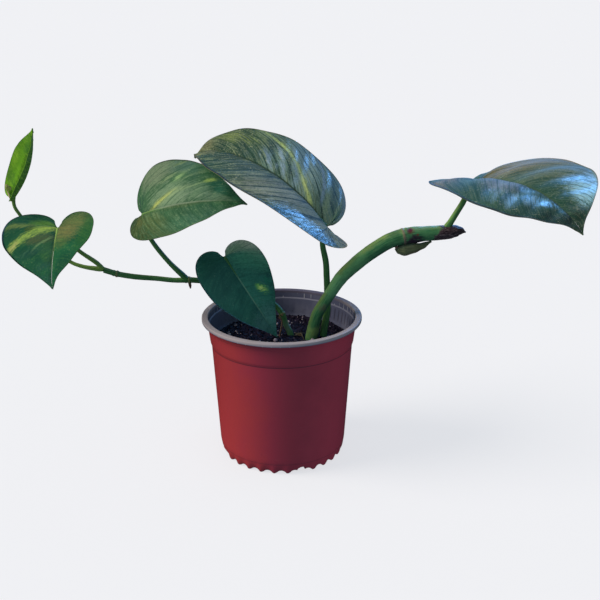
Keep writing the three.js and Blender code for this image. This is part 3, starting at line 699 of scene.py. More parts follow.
def stemObject(name, skin, look, route, nodes=(), ridge=0.0):
    spots, radii, lengths, marks = smoothRoute(route, look["step"])
    for index in nodes:
        for onwards, width, share in nodeRings:
            away = lengths - marks[index] - onwards
            radii = radii + share * ridge * np.exp(-((away / width) ** 2))
    path = meshObject(name + "Path", spots * mm, [], [(i, i + 1) for i in range(len(spots) - 1)])
    pointValues(path.data, "radius", radii * mm)
    pointValues(path.data, "along", lengths * mm)
    lumps = {"lumpHeight": look["lump"] * mm, "lumpSize": look["lumpSize"] * mm, "seed": look["seed"]}
    return grown(path, stemNodes, name, {"sides": look["sides"], "skin": skin, **lumps})


# colours that follow the blade: streaks run along veins, from the midrib out to the margin, and
# patches lie round a place on the blade

followed = ("vein", "share", "fray")
streakLabels = ("side", "foot", "end", "bow", "start", "stop", "width")
patchLabels = ("side", "atVein", "atShare", "reach", "height")
streakFade = {"side": 0.012, "across": (0.2, 1.25), "start": 0.08, "stopBefore": 0.18, "stopAfter": 0.1}
patchFade = {"side": 0.03, "across": (0.45, 1.35), "fray": 0.5}


# only on the half of the blade that the mark is on
def sideOf(given, fade):
    return (given.share * given.side).smooth(-fade["side"], fade["side"])


def streakGroup():
    group, given = newTree("veinStreak", dict.fromkeys(followed + streakLabels, 0.0), "Float")
    fade, out = streakFade, abs(given.share)
    line = (given.end - given.foot) * out**given.bow + given.foot
    away = abs(given.vein - line) / given.width + given.fray
    starts = out.smooth(given.start - fade["start"], given.start + fade["start"])
    stops = out.smooth(given.stop - fade["stopBefore"], given.stop + fade["stopAfter"], 1, 0)
    return closed(group, away.smooth(*fade["across"], 1, 0) * sideOf(given, fade) * (starts * stops))


def patchGroup():
    group, given = newTree("bladePatch", dict.fromkeys(followed + patchLabels, 0.0), "Float")
    over = (given.vein - given.atVein) / given.reach
    beside = (abs(given.share) - given.atShare) / given.height
    far = given.fray * patchFade["fray"] + reckoned("SQRT", over * over + beside * beside)
    return closed(group, far.smooth(*patchFade["across"], 1, 0) * sideOf(given, patchFade))


streakNodes = streakGroup()
patchNodes = patchGroup()

# patches: side (1 left, -1 right), vein, share of the way out, reach in veins, height in shares, colour,
# strength
# gloss: the same without a colour, where the blade is polished rather than dull
# streaks: side, vein at the midrib, vein at the margin, bow, from, to, width, colour, strength

leafLooks = {
    "leaf_right": {
        "deep": (30, 66, 52), "mid": (60, 96, 78), "pale": (114, 134, 108), "under": (96, 132, 84),
        "margin": (112, 104, 84), "midrib": (60, 84, 58), "fleck": (150, 160, 140), "paleAmount": 0.25,
        "lines": 0.6, "grain": 0.6, "roughness": 0.97, "polished": 0.31, "shine": 0.62,
        "patches": [
            (1, 3, 0.3, 1.2, 0.5, (92, 84, 30), 0.95), (1, 4.4, 0.6, 1.6, 0.7, (120, 104, 46), 0.9),
            (1, 6.8, 0.6, 1.6, 0.6, (92, 102, 82), 0.75), (1, 10.5, 0.15, 2.8, 0.24, (22, 62, 52), 0.9),
            (1, 12.6, 0.6, 0.9, 0.5, (64, 90, 104), 0.6), (1, 14.8, 0.5, 2.6, 1, (0, 22, 22), 1),
            # pale blue patches, blue above green, on both halves: painted highlights beside the polished
            # places
            (1, 10.2, 0.78, 1.9, 0.36, (140, 196, 226), 0.85),
            (1, 8.6, 0.98, 1.3, 0.16, (120, 160, 184), 0.7), (-1, 8, 0.62, 0.34, 0.24, (112, 158, 190), 0.8),
            (-1, 9.4, 0.46, 0.34, 0.2, (116, 166, 196), 0.8),
            # the dark teal patches at veins 8.7 and 7.4: painted shade in the folds between those highlights
            (-1, 6.8, 0.66, 0.24, 0.22, (96, 138, 168), 0.7), (-1, 8.7, 0.6, 0.2, 0.3, (30, 70, 72), 0.8),
            (-1, 7.4, 0.68, 0.18, 0.3, (34, 74, 74), 0.8), (-1, 10.2, 0.3, 0.7, 0.22, (112, 178, 220), 0.75),
            (-1, 11.9, 0.14, 0.7, 0.14, (92, 156, 190), 0.7), (-1, 11, 0.96, 3, 0.22, (4, 36, 34), 0.8),
            (-1, 3.2, 0.8, 0.7, 0.4, (118, 106, 98), 0.8), (-1, 4.6, 0.85, 1.4, 0.3, (38, 76, 70), 0.8),
            # the grey-blue patch at vein 6.2: a painted sheen
            (-1, 6.2, 0.25, 1.6, 0.35, (114, 122, 130), 0.8), (-1, 10.5, 0.85, 2.2, 0.35, (20, 58, 54), 0.95),
            (-1, 12.4, 0.85, 1.4, 0.4, (12, 40, 36), 0.95), (-1, 12.1, 0.25, 0.5, 0.25, (20, 68, 62), 0.8),
            (-1, 14.2, 0.5, 2.2, 0.9, (4, 32, 30), 0.95),
        ],
        "streaks": [],
        "gloss": [
            (1, 10, 0.72, 2.6, 0.5, 1), (1, 11.7, 0.4, 0.5, 0.3, 0.6), (-1, 8, 0.66, 1, 0.2, 0.8),
            (-1, 9.3, 0.48, 1, 0.18, 0.9), (-1, 10.5, 0.32, 1, 0.16, 0.9), (-1, 11.8, 0.12, 1.1, 0.12, 1),
            (-1, 6.2, 0.7, 0.7, 0.2, 0.5), (-1, 8.2, 0.2, 0.8, 0.12, 0.5),
        ],
    },
    "leaf_top": {
        "deep": (40, 70, 52), "mid": (78, 108, 80), "pale": (154, 172, 132), "under": (98, 134, 86),
        "margin": (150, 132, 100), "midrib": (44, 72, 58), "fleck": (170, 178, 150), "paleAmount": 0.6,
        "lines": 0.85, "grain": 0.9, "roughness": 0.94, "polished": 0.26, "shine": 0.5,
        "patches": [
            (1, 8.3, 0.55, 3.4, 0.6, (66, 94, 92), 0.85), (1, 5.5, 0.5, 1.2, 0.6, (116, 124, 116), 0.75),
            (1, 11, 0.55, 1.9, 0.6, (22, 60, 54), 0.9), (1, 9.8, 0.85, 2, 0.3, (34, 74, 64), 0.85),
            (1, 11.9, 0.5, 0.8, 0.8, (28, 70, 58), 0.85), (1, 13, 0.6, 0.8, 0.7, (100, 106, 80), 0.9),
            (1, 0.9, 0.6, 1, 0.7, (124, 122, 108), 0.85), (1, 6.2, 0.08, 1.6, 0.08, (66, 98, 72), 0.6),
            (1, 3.2, 0.75, 1.2, 0.3, (70, 118, 130), 0.6), (1, 2.8, 0.28, 2.8, 0.36, (162, 172, 150), 0.8),
            (1, 0.2, 0.7, 1, 0.7, (146, 134, 84), 0.95), (-1, 1.4, 0.45, 1.8, 0.6, (140, 168, 150), 0.8),
            (-1, 4.2, 0.4, 1.3, 0.7, (124, 154, 132), 0.7), (-1, 6.3, 0.42, 1.2, 0.8, (136, 172, 160), 0.75),
            (-1, 8, 0.2, 1.1, 0.3, (124, 162, 158), 0.7), (-1, 2.4, 0.25, 1.3, 0.3, (62, 122, 92), 0.8),
            # the pale grey-blue patch at vein 2.4 on the right half is a painted highlight on the lobe
            (-1, 2.4, 0.8, 1.2, 0.3, (150, 160, 170), 0.6), (-1, 10.2, 0.75, 1, 0.35, (62, 86, 52), 0.9),
            (-1, 11.8, 0.7, 1.3, 0.3, (100, 116, 66), 0.85), (-1, 12, 0.2, 1.8, 0.22, (32, 70, 68), 0.9),
            (-1, 14, 0.55, 1.4, 0.6, (112, 110, 80), 0.95), (1, 12, 1.02, 2.8, 0.05, (228, 208, 178), 1),
            (-1, 8.9, 0.82, 0.7, 0.3, (122, 148, 88), 0.6), (1, 5.6, 0.45, 1.7, 0.5, (156, 168, 158), 0.55),
            # the pale blue patch at vein 5.9 on the right half is a painted highlight
            (1, 1.8, 0.35, 2.2, 0.5, (164, 176, 150), 0.55), (-1, 5.9, 0.5, 0.9, 0.6, (150, 184, 196), 0.5),
            (-1, 9.8, 0.2, 1.1, 0.3, (36, 74, 78), 0.7), (-1, 12, 0.4, 1.5, 0.5, (32, 64, 56), 0.65),
            (-1, 9.9, 0.6, 0.8, 0.3, (44, 78, 56), 0.6),
        ],
        "streaks": [
            (-1, 4.1, 4.9, 1, 0.1, 1, 0.24, (150, 172, 122), 0.7),
            # pale blue streaks: pale lines, partly painted highlights on the pleats; dark ones between:
            # painted shade in folds
            (-1, 6.1, 7.3, 1, 0.08, 0.75, 0.2, (150, 184, 206), 0.85),
            (-1, 6.5, 8.1, 1, 0.05, 0.8, 0.16, (40, 72, 66), 0.8),
            (-1, 6.9, 8.7, 1, 0.06, 0.6, 0.2, (146, 176, 200), 0.85),
            (-1, 7.3, 9.6, 1, 0.04, 0.6, 0.16, (38, 70, 64), 0.8),
            (-1, 7.8, 10.4, 1, 0.06, 0.4, 0.18, (140, 170, 198), 0.8),
            (-1, 4.4, 5.3, 1, 0.15, 0.95, 0.14, (148, 176, 206), 0.75),
            (-1, 3.7, 4.4, 1, 0.2, 0.9, 0.18, (44, 78, 66), 0.7),
            (-1, 3.2, 3.5, 1, 0.3, 0.9, 0.14, (140, 164, 150), 0.5),
            (-1, 5.3, 8.3, 1, 0.4, 1, 0.12, (146, 178, 150), 0.5),
            (-1, 8.4, 12.4, 1, 0.4, 0.95, 0.16, (140, 162, 86), 0.6),
            (-1, 9.1, 13.1, 1, 0.45, 0.9, 0.14, (132, 152, 84), 0.6),
            (-1, 7.4, 11.3, 1, 0.4, 0.9, 0.12, (122, 146, 84), 0.5),
            (-1, 9.9, 13.6, 1, 0.3, 0.8, 0.12, (126, 146, 82), 0.5),
            (1, 6.8, 6.9, 1, 0.3, 0.9, 0.22, (112, 134, 118), 0.4),
            (-1, 7.9, 11.9, 1, 0.5, 0.95, 0.09, (156, 176, 92), 0.7),
            (-1, 8.8, 12.8, 1, 0.5, 0.95, 0.08, (150, 170, 90), 0.7),
            (-1, 9.5, 13.4, 1, 0.4, 0.9, 0.08, (146, 164, 88), 0.6),
            (-1, 5, 9.1, 1, 0, 1, 0.28, (168, 194, 118), 1),
            (-1, 5, 9.1, 1, 0, 0.5, 0.13, (214, 230, 146), 0.9),
        ],
        "gloss": [
            (1, 3.4, 0.78, 1.4, 0.3, 0.85), (-1, 6, 0.5, 0.2, 0.34, 0.8), (-1, 6.7, 0.45, 0.14, 0.3, 0.8),
            (-1, 7.3, 0.6, 0.16, 0.3, 0.7), (-1, 5.6, 0.78, 0.18, 0.2, 0.6), (-1, 4.5, 0.62, 0.2, 0.26, 0.7),
            (-1, 3.6, 0.65, 0.2, 0.3, 0.6), (-1, 2.4, 0.78, 0.26, 0.26, 0.6),
            (-1, 7.6, 0.18, 0.18, 0.14, 0.8), (-1, 8.3, 0.22, 0.2, 0.16, 0.9), (-1, 9, 0.17, 0.17, 0.13, 0.8),
            (-1, 9.9, 0.13, 0.2, 0.1, 0.6),
        ],
    },
    "leaf_front": {
        "deep": (35, 94, 84), "mid": (52, 124, 108), "pale": (66, 132, 112), "under": (84, 120, 86),
        "margin": (96, 124, 116), "midrib": (120, 172, 146), "fleck": (104, 148, 132), "paleAmount": 0.35,
        "lines": 0.25, "grain": 0.4, "roughness": 0.62, "shine": 0.12,
        "patches": [
            (-1, 2.4, 0.55, 2.6, 0.7, (32, 92, 76), 0.8), (-1, 5.2, 0.4, 1.6, 0.6, (40, 92, 86), 0.6),
            # the pale patches on the left half's lobe, at veins 2.2 and 1.6, are a painted sheen
            (-1, 10.6, 0.5, 1.5, 0.7, (82, 132, 128), 0.7), (1, 2.2, 0.78, 2.2, 0.5, (216, 226, 200), 0.95),
            (1, 1.6, 0.42, 1.8, 0.4, (152, 190, 150), 0.85), (1, 4.6, 0.6, 1.2, 0.6, (88, 172, 136), 0.8),
            (1, 7.5, 0.4, 2.6, 0.5, (64, 144, 124), 0.7), (1, 10.6, 0.5, 1.8, 0.8, (92, 154, 146), 0.8),
            (1, 6.6, 0.78, 0.4, 0.14, (40, 138, 106), 0.7),
        ],
        "streaks": [
            (1, 7, 7.6, 1, 0.34, 0.72, 0.4, (140, 222, 100), 1),
            (1, 7.1, 7.6, 1, 0.4, 0.62, 0.24, (226, 255, 150), 1),
            (1, 7.7, 7.95, 1, 0.5, 0.6, 0.12, (110, 176, 90), 0.6),
        ],
    },
    "leaf_upper_left": {
        "deep": (44, 86, 58), "mid": (68, 112, 80), "pale": (124, 156, 118), "under": (98, 136, 88),
        "margin": (104, 120, 88), "midrib": (142, 164, 138), "fleck": (136, 166, 126), "paleAmount": 0.35,
        "lines": 0.4, "grain": 0.6, "roughness": 0.5, "shine": 0.25,
        "patches": [
            (-1, 1.8, 0.6, 2.4, 0.8, (62, 72, 36), 0.95), (-1, 4.9, 0.55, 1, 0.6, (86, 106, 64), 0.8),
            (-1, 7.4, 0.8, 2.4, 0.3, (66, 116, 90), 0.7), (-1, 9.4, 0.4, 2.2, 0.5, (56, 100, 74), 0.7),
            (-1, 8.4, 0.06, 2.6, 0.14, (84, 102, 66), 0.6), (-1, 0.8, 0.6, 0.8, 0.8, (42, 60, 44), 0.8),
            # the grey patch at vein 4 on the left half is a painted sheen
            (1, 2.8, 0.35, 1.6, 0.35, (60, 104, 76), 0.8), (1, 4, 0.72, 1.7, 0.35, (124, 140, 118), 0.8),
            (1, 6.4, 0.85, 1.4, 0.2, (78, 108, 104), 0.7), (1, 7.6, 0.86, 1, 0.2, (58, 104, 80), 0.7),
            (1, 10.4, 0.65, 1.7, 0.5, (26, 92, 82), 0.9), (1, 12.4, 0.6, 1.4, 0.8, (18, 88, 66), 0.95),
            (-1, 10.6, 0.5, 2.6, 0.9, (46, 92, 64), 0.75), (-1, 12.8, 0.5, 1.5, 0.9, (24, 80, 56), 0.9),
            # the pale patches at veins 6.5 and 10.6 beside the midrib are a painted sheen
            (1, 10.6, 0.15, 1.6, 0.2, (116, 146, 122), 0.6), (1, 6.5, 0.18, 1.7, 0.3, (150, 178, 146), 0.6),
            (1, 8.6, 0.3, 1.3, 0.25, (116, 148, 118), 0.5), (-1, 2.6, 0.2, 1.8, 0.3, (96, 98, 48), 0.7),
        ],
        "streaks": [
            (1, 5, 10, 1, 0.02, 0.3, 0.34, (186, 200, 108), 0.95),
            (1, 5.5, 10.4, 1, 0.1, 0.42, 0.3, (146, 174, 128), 0.7),
            (1, 6, 10.6, 1, 0.3, 0.62, 0.16, (150, 182, 130), 0.5),
            (1, 7.3, 9.8, 1, 0.6, 0.86, 0.34, (162, 196, 104), 0.9),
            (1, 5.2, 7.2, 1, 0.5, 0.72, 0.3, (150, 188, 128), 0.8),
            (1, 3.4, 7.2, 1, 0.5, 0.7, 0.2, (150, 178, 128), 0.7),
            (1, 2.4, 6, 1, 0.86, 1, 0.22, (150, 172, 104), 0.6),
            (1, 4.8, 8.6, 1, 0.5, 0.9, 0.12, (136, 166, 124), 0.5),
            # these two pale streaks beside the midrib are a painted sheen
            (1, 6.9, 11.4, 1, 0.06, 0.4, 0.12, (150, 176, 146), 0.5),
            (1, 8.2, 12.4, 1, 0.02, 0.3, 0.12, (150, 176, 146), 0.5),
            (-1, 4.4, 4.4, 1, 0.05, 0.9, 0.1, (44, 62, 36), 0.6),
        ],
    },
    "leaf_left": {
        "deep": (24, 82, 58), "mid": (36, 100, 66), "pale": (70, 124, 70), "under": (92, 134, 80),
        "margin": (64, 98, 64), "midrib": (98, 128, 80), "fleck": (120, 150, 100), "paleAmount": 0.35,
        "lines": 0.25, "grain": 0.5, "roughness": 0.5, "shine": 0.25,
        "patches": [
            (1, 3, 0.45, 2.8, 0.55, (108, 120, 72), 0.95), (1, 5.6, 0.22, 1.5, 0.35, (116, 116, 72), 0.9),
            (1, 7, 0.2, 0.8, 0.25, (76, 106, 60), 0.6), (1, 5.2, 0.86, 2.4, 0.22, (44, 98, 52), 0.85),
            (1, 9.6, 0.7, 1.8, 0.4, (22, 72, 56), 0.8), (1, 1.9, 0.65, 0.8, 0.4, (112, 132, 82), 0.6),
            (-1, 2.9, 0.78, 1.3, 0.3, (28, 80, 66), 0.8), (-1, 2, 0.26, 2.2, 0.3, (98, 148, 58), 0.9),
            (-1, 4.4, 0.8, 0.8, 0.35, (30, 82, 58), 0.8), (-1, 4.3, 0.46, 1, 0.1, (78, 92, 34), 0.7),
            (-1, 4.4, 0.16, 1, 0.24, (148, 180, 82), 0.95), (-1, 8, 0.15, 1.6, 0.2, (60, 112, 60), 0.7),
            (-1, 6.2, 0.3, 0.7, 0.3, (84, 98, 66), 0.9), (-1, 10.5, 0.4, 1.4, 0.4, (42, 108, 72), 0.6),
        ],
        "streaks": [
            (-1, 4.95, 6.6, 1.6, 0, 1, 0.5, (160, 196, 86), 1),
            (-1, 4.9, 6.7, 1.6, 0.7, 1, 0.34, (182, 184, 118), 0.8),
            (-1, 3.4, 3.7, 1, 0.45, 1, 0.28, (128, 152, 80), 0.8),
            (-1, 6, 9, 1, 0.08, 0.48, 0.18, (122, 160, 108), 0.8),
            (-1, 6, 8.2, 1, 0.55, 0.8, 0.12, (84, 136, 96), 0.6),
        ],
    },
    "leaf_young": {
        "deep": (112, 172, 38), "mid": (140, 202, 48), "pale": (166, 216, 72), "under": (76, 132, 44),
        "margin": (96, 130, 50), "midrib": (76, 112, 28), "fleck": (160, 200, 90), "paleAmount": 0.4,
        "lines": 0.25, "grain": 0.35, "roughness": 0.5, "shine": 0.3,
        "patches": [
            (1, 4.9, 0.86, 1.4, 0.25, (180, 232, 62), 0.9), (1, 6, 0.12, 4.6, 0.2, (62, 104, 24), 0.95),
            (1, 7.8, 0.32, 1.4, 0.25, (66, 126, 60), 0.7), (1, 10, 0.5, 1.6, 0.6, (98, 158, 50), 0.8),
            (1, 3.4, 0.7, 0.4, 0.5, (76, 128, 56), 0.7), (-1, 5, 0.6, 6, 0.9, (120, 178, 60), 0.9),
        ],
        "streaks": [],
    },
}


def groupMask(nodes, labels, links, values):
    return links["vein"].node("ShaderNodeGroup", {**links, **dict(zip(labels, values))}, node_tree=nodes)


def leafFinish(name, leaf, look):
    material, tree, spot = newFinish(name)
    along, across, under = attributeOf(tree, "bladePlace").split()
    column, share, _ = attributeOf(tree, "veinPlace").split()

    # the fine veins lean towards the tip, more on one half than on the other
    left, right = (leaf[key].get("lean", 0) for key in ("left", "right"))
    out = abs(share)
    leaned = column - out * (reckoned("GREATER_THAN", share, 0.0) * (left - right) + right)
    vein = combined(tree, leaned, share, 0.0)

    broad = spot.noise(60, 4, 0.6)
    threads = vein.stretched((4, 3, 1)).noise(1, 5, 0.6, 0.3)
    fineThreads = vein.stretched((9, 4, 1)).noise(1, 5, 0.7)
    speckle = spot.noise(760, 3, 0.75)
    fray = vein.stretched((7, 9, 1), (3, 0, 0)).noise(1, 5, 0.7)

    ground = broad.smooth(0.3, 0.7).mix(look["deep"], look["mid"])
    links = {"vein": column, "share": share, "fray": fray.smooth(0.3, 0.7, -0.6, 0.6)}
    for *place, tint, strength in look["patches"]:
        ground = (groupMask(patchNodes, patchLabels, links, place) * strength).mix(ground, tint)
    pale = threads.smooth(0.46, 0.7) * look["paleAmount"] * speckle.smooth(0.4, 0.58, 0.45, 1.3)
    ground = pale.mix(ground, look["pale"])
    # painted shade: dark threads stand for the shade in the folds between the pleats
    lines = threads.smooth(0.34, 0.47, 0.9 * look["lines"], 0)
    ground = reckoned("MAXIMUM", fineThreads.smooth(0.34, 0.52, 0.5, 0), lines).mix(ground, look["deep"])
    ground = (fineThreads.smooth(0.55, 0.7) * (0.35 * look["grain"])).mix(ground, look["pale"])

    # side veins: a thin darker line, painted shade in the vein's crease, beside a thin paler one
    inside = out.smooth(0.86, 0.98, 1, 0)
    for count, amount in ((1, look["lines"]), (2, 0.7 * look["lines"])):
        wavering = (fray - 0.5) * 0.5 + reckoned("COSINE", leaned * (fullTurn * count))
        line = wavering.smooth(0.8, 1.02) * inside
        ground = (line * amount).mix(ground, look["deep"])
        beside = wavering.smooth(-0.8, -1.02) * inside
        ground = (beside * (0.4 * amount)).mix(ground, look["pale"])
    broken = fineThreads.smooth(0.3, 0.6, 0.35, 1)
    for *place, tint, strength in look["streaks"]:
        ground = (groupMask(streakNodes, streakLabels, links, place) * broken * strength).mix(ground, tint)

    # fine pale flecks, the midrib and the margin, then the underside
    rare = spot.noise(120, 3).smooth(0.5, 0.66) * 0.7 + 0.4 * look["grain"]
    ground = (speckle.smooth(0.56, 0.68, 0, 0.8) * rare).mix(ground, look["fleck"])
    ground = speckle.smooth(0.34, 0.48, 0.3 + 0.25 * look["grain"], 0).mix(ground, look["deep"])
    ridge = abs(across).smooth(0.008, 0.024, 1, 0) * along.smooth(0.5, 0.85, 0.75, 0.1)
    ground = ridge.mix(ground, look["midrib"])
    ground = ((fray - 0.5) * 0.04 + out).smooth(0.97, 1, 0, 0.6).mix(ground, look["margin"])
    below = threads.smooth(0.3, 0.8, 0, 0.5).mix(look["under"], look["mid"])
    ground = under.mix(ground, (line * 0.35).mix(below, look["pale"]))

    # gloss: polished places, broken up by the fine veins and grains; the underside stays dull
    rough = (fineThreads - 0.5) * 0.12 + look["roughness"]
    if "gloss" in look:
        polish = 0.0
        for *place, strength in look["gloss"]:
            polish = reckoned("MAXIMUM", groupMask(patchNodes, patchLabels, links, place) * strength, polish)
        polish = polish * fineThreads.smooth(0.38, 0.54, 0.35, 1) * speckle.smooth(0.4, 0.52, 0.5, 1)
        rough = polish * (1 - under) * (look["polished"] - look["roughness"]) + rough
    return dressed(material, ground, rough, look["shine"], (fineThreads + speckle * 0.7, 0.00018, 0.8))


# stems as: colours, rings at the nodes, and dabs at places on the surface (x, y, z, radius, colour, strength)

# lit and low are the colours of painted light and painted shade on a stem's sides; low also darkens the fibres
stemLooks = {
    "cuttingSkin": {
        "deep": (44, 104, 70), "mid": (78, 134, 90), "lit": (122, 146, 82), "low": (24, 70, 58),
        "ring": (136, 124, 104), "cork": (70, 58, 66), "roughness": 0.5, "furrow": (30, 22, 30),
        "chalk": (158, 144, 148),
    },
    "vineSkin": {
        "deep": (48, 98, 58), "mid": (84, 138, 80), "lit": (124, 156, 92), "low": (34, 80, 54),
        "ring": (132, 120, 90), "roughness": 0.5,
    },
    "youngSkin": {
        "deep": (82, 122, 58), "mid": (128, 168, 84), "lit": (164, 194, 112), "low": (70, 108, 54),
        "ring": (150, 150, 100), "roughness": 0.5,
    },
}


# corkFrom is where the bark of a cut end begins, in millimetres along the stem
def stemFinish(name, look, rings=(), corkFrom=None, dabs=()):
    material, tree, spot = newFinish(name)
    place = attributeOf(tree, "stemPlace")
    along = place.split()[0]
    sideways, _, upward = added(tree, "ShaderNodeNewGeometry", output="Normal").split()
    fibres = place.stretched((90, 5.2, 5.2)).noise(1, 5, 0.65, 0.4)
    patches = spot.noise(130, 4, 0.6)
    colour = fibres.smooth(0.32, 0.68).mix(look["deep"], look["mid"])
    # painted light on the side that faces up and to the left, painted shade on the side that faces down and
    # right
    paintedLightSide = (patches - 0.5) * 0.7 + (sideways * -0.55 + upward * 0.65)
    colour = paintedLightSide.smooth(0.25, 0.9, 0, 0.7).mix(colour, look["lit"])
    colour = paintedLightSide.smooth(-0.75, -0.1, 0.75, 0).mix(colour, look["low"])
    cells = added(tree, "ShaderNodeTexVoronoi", {"Vector": spot, "Scale": 700}, "Distance")
    colour = (cells.smooth(0.12, 0.26, 0.5, 0) * patches.smooth(0.5, 0.62)).mix(colour, look["ring"])
    for mark, width, strength in rings:
        away = abs(along - mark * mm) + (patches - 0.5) * (0.8 * width * mm)
        colour = away.smooth(0.4 * width * mm, width * mm, strength, 0).mix(colour, look["ring"])
    for *centre, radius, tint, strength in dabs:
        ends = {0: spot, 1: tuple(value * mm for value in centre)}
        away = added(tree, "ShaderNodeVectorMath", ends, "Value", operation="DISTANCE")
        away = away + (patches - 0.5) * (2.2 * radius * mm) + (fibres - 0.5) * (1.2 * radius * mm)
        colour = away.smooth(0.15 * radius * mm, radius * mm, strength, 0).mix(colour, tint)
    colour = fibres.smooth(0.3, 0.46, 0.45, 0).mix(colour, look["low"])
    relief = fibres * 0.8
    if corkFrom is not None:
        wavy = (patches - 0.5) * 0.016 + along + upward * -0.004
        corky = wavy.smooth((corkFrom - 1.5) * mm, (corkFrom + 1.5) * mm)
        grain = place.stretched((330, 7, 7)).noise(1, 6, 0.75, 0.8)
        bark = grain.smooth(0.36, 0.52).mix(look["furrow"], look["cork"])
        colour = corky.mix(colour, grain.smooth(0.54, 0.66, 0, 0.85).mix(bark, look["chalk"]))
        relief = corky * grain * 3 + relief
    return dressed(material, colour, fibres * 0.2 + (look["roughness"] - 0.1), 0.15, (relief, 0.0003, 0.6))


# the stout old stem: its nodes, and the cut where the bark begins, are points of the route, counted from 0

cutting = {
    "route": [
        (16, 1, 60, 4.6), (22.6, -0.8, 93, 4.7), (26.2, -2, 109.6, 4.4), (30.8, -2.6, 118.6, 4.3),
        (36.5, -3, 128.2, 4.4), (44.3, -3, 140.2, 4.9), (52.7, -3, 148.8, 5.2), (59.7, -2.8, 154.9, 5.4),
        (68, -2.3, 161.1, 5.5), (79.2, -1.2, 167.6, 5.6), (89, -0.5, 170.6, 5.9), (96.5, 0, 171.6, 6.1),
        (105, 0, 172.6, 5.5), (114, 0, 173.2, 5.4), (122, 0, 173.9, 5.2), (127, 0, 174.6, 4.4),
        (130.5, 0, 174.8, 2.9), (134.3, 0, 173.6, 0.6),
    ],
    "nodes": [10], "cut": 13, "ridge": 0.5,
    "tube": {"step": 0.8, "sides": 30, "lump": 0.5, "lumpSize": 5, "seed": 3.0},
    "dabs": [
        (93.6, -3.6, 175.8, 3.8, (84, 18, 28), 1), (98.8, -5.3, 173.4, 1.3, (120, 48, 40), 0.9),
        (99.6, -5.9, 170.8, 1.2, (104, 36, 38), 0.9), (90.4, -5.4, 170.4, 3, (96, 90, 84), 0.7),
        (95.5, -5.2, 167, 8.4, (50, 38, 54), 1), (101.5, -4.6, 167, 6.4, (50, 38, 54), 0.95),
        (113, -5.2, 171.4, 2.4, (142, 138, 132), 0.7), (31, -6.2, 117.5, 4.4, (112, 96, 90), 0.6),
        # the pale green dabs at heights 98, 135 and 151 are painted light where the top leaf shades the stem
        (24, -6, 98, 8, (150, 182, 104), 0.45), (40, -6, 135, 19, (102, 164, 116), 0.6),
        (54, -6, 151, 17, (96, 156, 104), 0.45), (82, -4, 175, 11, (44, 88, 54), 0.6),
    ],
}

# the long thin vine, with the stub of an aerial root

vine = {
    "route": [
        (5, 4, 64, 2.3), (6.8, 3, 91, 2.4), (2.5, 6, 100.5, 2.3), (0, 7, 107.8, 2.2), (-6.1, 9, 114.8, 2),
        (-18.3, 12, 121.4, 2), (-29.6, 12.5, 125, 2.05), (-44, 12.5, 129.3, 2.05), (-59.4, 10, 132.9, 2.1),
        (-69.6, 7, 134.7, 2.2), (-79.9, 6, 134.8, 1.9), (-93.9, 5, 136.6, 1.9), (-109.5, 5, 137.9, 2.05),
        (-122.8, 5, 140.2, 2.1), (-132.2, 5, 143.2, 2.2),
    ],
    "nodes": [3, 6, 9, 13], "ridge": 0.6,
    "tube": {"step": 0.6, "sides": 18, "lump": 0.25, "lumpSize": 4, "seed": 8.0},
    "stub": [(-69.4, 7, 134.2, 1.3), (-68.9, 6.8, 130.8, 1.1), (-68.6, 6.3, 128.2, 0.5)],
    "dabs": [
        (0.2, 4.9, 107.4, 1.6, (190, 120, 112), 0.8), (-2.2, 5.6, 104.8, 2.2, (176, 156, 120), 0.7),
        (4, 3.4, 98, 7, (92, 116, 104), 0.7),
    ],
}

stalkTube = {"step": 0.7, "sides": 14, "lump": 0.16, "lumpSize": 4, "seed": 5.0}

# as on the stems, lit and low are painted light and painted shade; low also darkens the fibres
rootLooks = {
    "dryRootSkin": {
        "deep": (92, 72, 66), "mid": (138, 112, 96), "lit": (176, 148, 128), "low": (52, 42, 42),
        "ring": (196, 176, 150), "roughness": 0.85,
    },
    "surfaceRootSkin": {
        "deep": (70, 60, 52), "mid": (106, 94, 78), "lit": (140, 126, 98), "low": (42, 34, 34),
        "ring": (160, 144, 112), "roughness": 0.85,
    },
    "sheathSkin": {
        "deep": (66, 84, 64), "mid": (104, 112, 80), "lit": (104, 128, 110), "low": (84, 70, 44),
        "ring": (120, 116, 84), "roughness": 0.6,
    },
}

roots = {
    "dryRoot": [
        (-2.3, 3.6, 106.6, 0.8), (-0.2, 3, 103.2, 0.7), (-0.6, 2.4, 97.5, 0.6), (-1.8, 2, 92, 0.6),
        (-2.4, 1.8, 86, 0.5),
    ],
    "surface": [
        [(10.2, 3.4, 91.6, 0.9), (12.6, 3.9, 92.1, 0.9), (15.4, 3.4, 92.3, 0.8)],
        [(8.6, 8.2, 91.3, 0.6), (11.4, 5.6, 92, 0.7), (13.4, 3.7, 92.2, 0.8)],
    ],
    "threads": [
        [(9.4, 2.4, 91.4, 0.35), (12.5, 1.2, 92.6, 0.3), (16, -0.8, 92.2, 0.25)],
        [(11, 4.6, 91.8, 0.3), (14.2, 5.6, 93, 0.28), (17.6, 5.2, 92.4, 0.2)],
        [(12.6, 3.9, 92.4, 0.4), (14.4, 2.2, 93.4, 0.35), (15.6, -1.6, 92.6, 0.3), (16.4, -4.2, 91.2, 0.2)],
    ],
    "sheath": [
        (109.5, -1, 167.2, 0.8), (103, -1.4, 163.9, 2.4), (96, -1.6, 162.1, 4.1), (90, -1.8, 161, 4.6),
        (85.8, -2, 161.2, 3.3), (83.2, -2, 161.9, 1),
    ],
    "spike": [(85, -2.4, 162.4, 1.1), (82.4, -2.6, 164, 0.8), (79.4, -2.8, 165.2, 0.3)],
    "tube": {"step": 0.4, "sides": 12, "lump": 0.5, "lumpSize": 1.6, "seed": 2.0},
    "sheathTube": {"step": 0.5, "sides": 24, "lump": 0.9, "lumpSize": 4, "seed": 6.0},
}


def markOf(route, index):
    return smoothRoute(route, 0.5)[3][index]


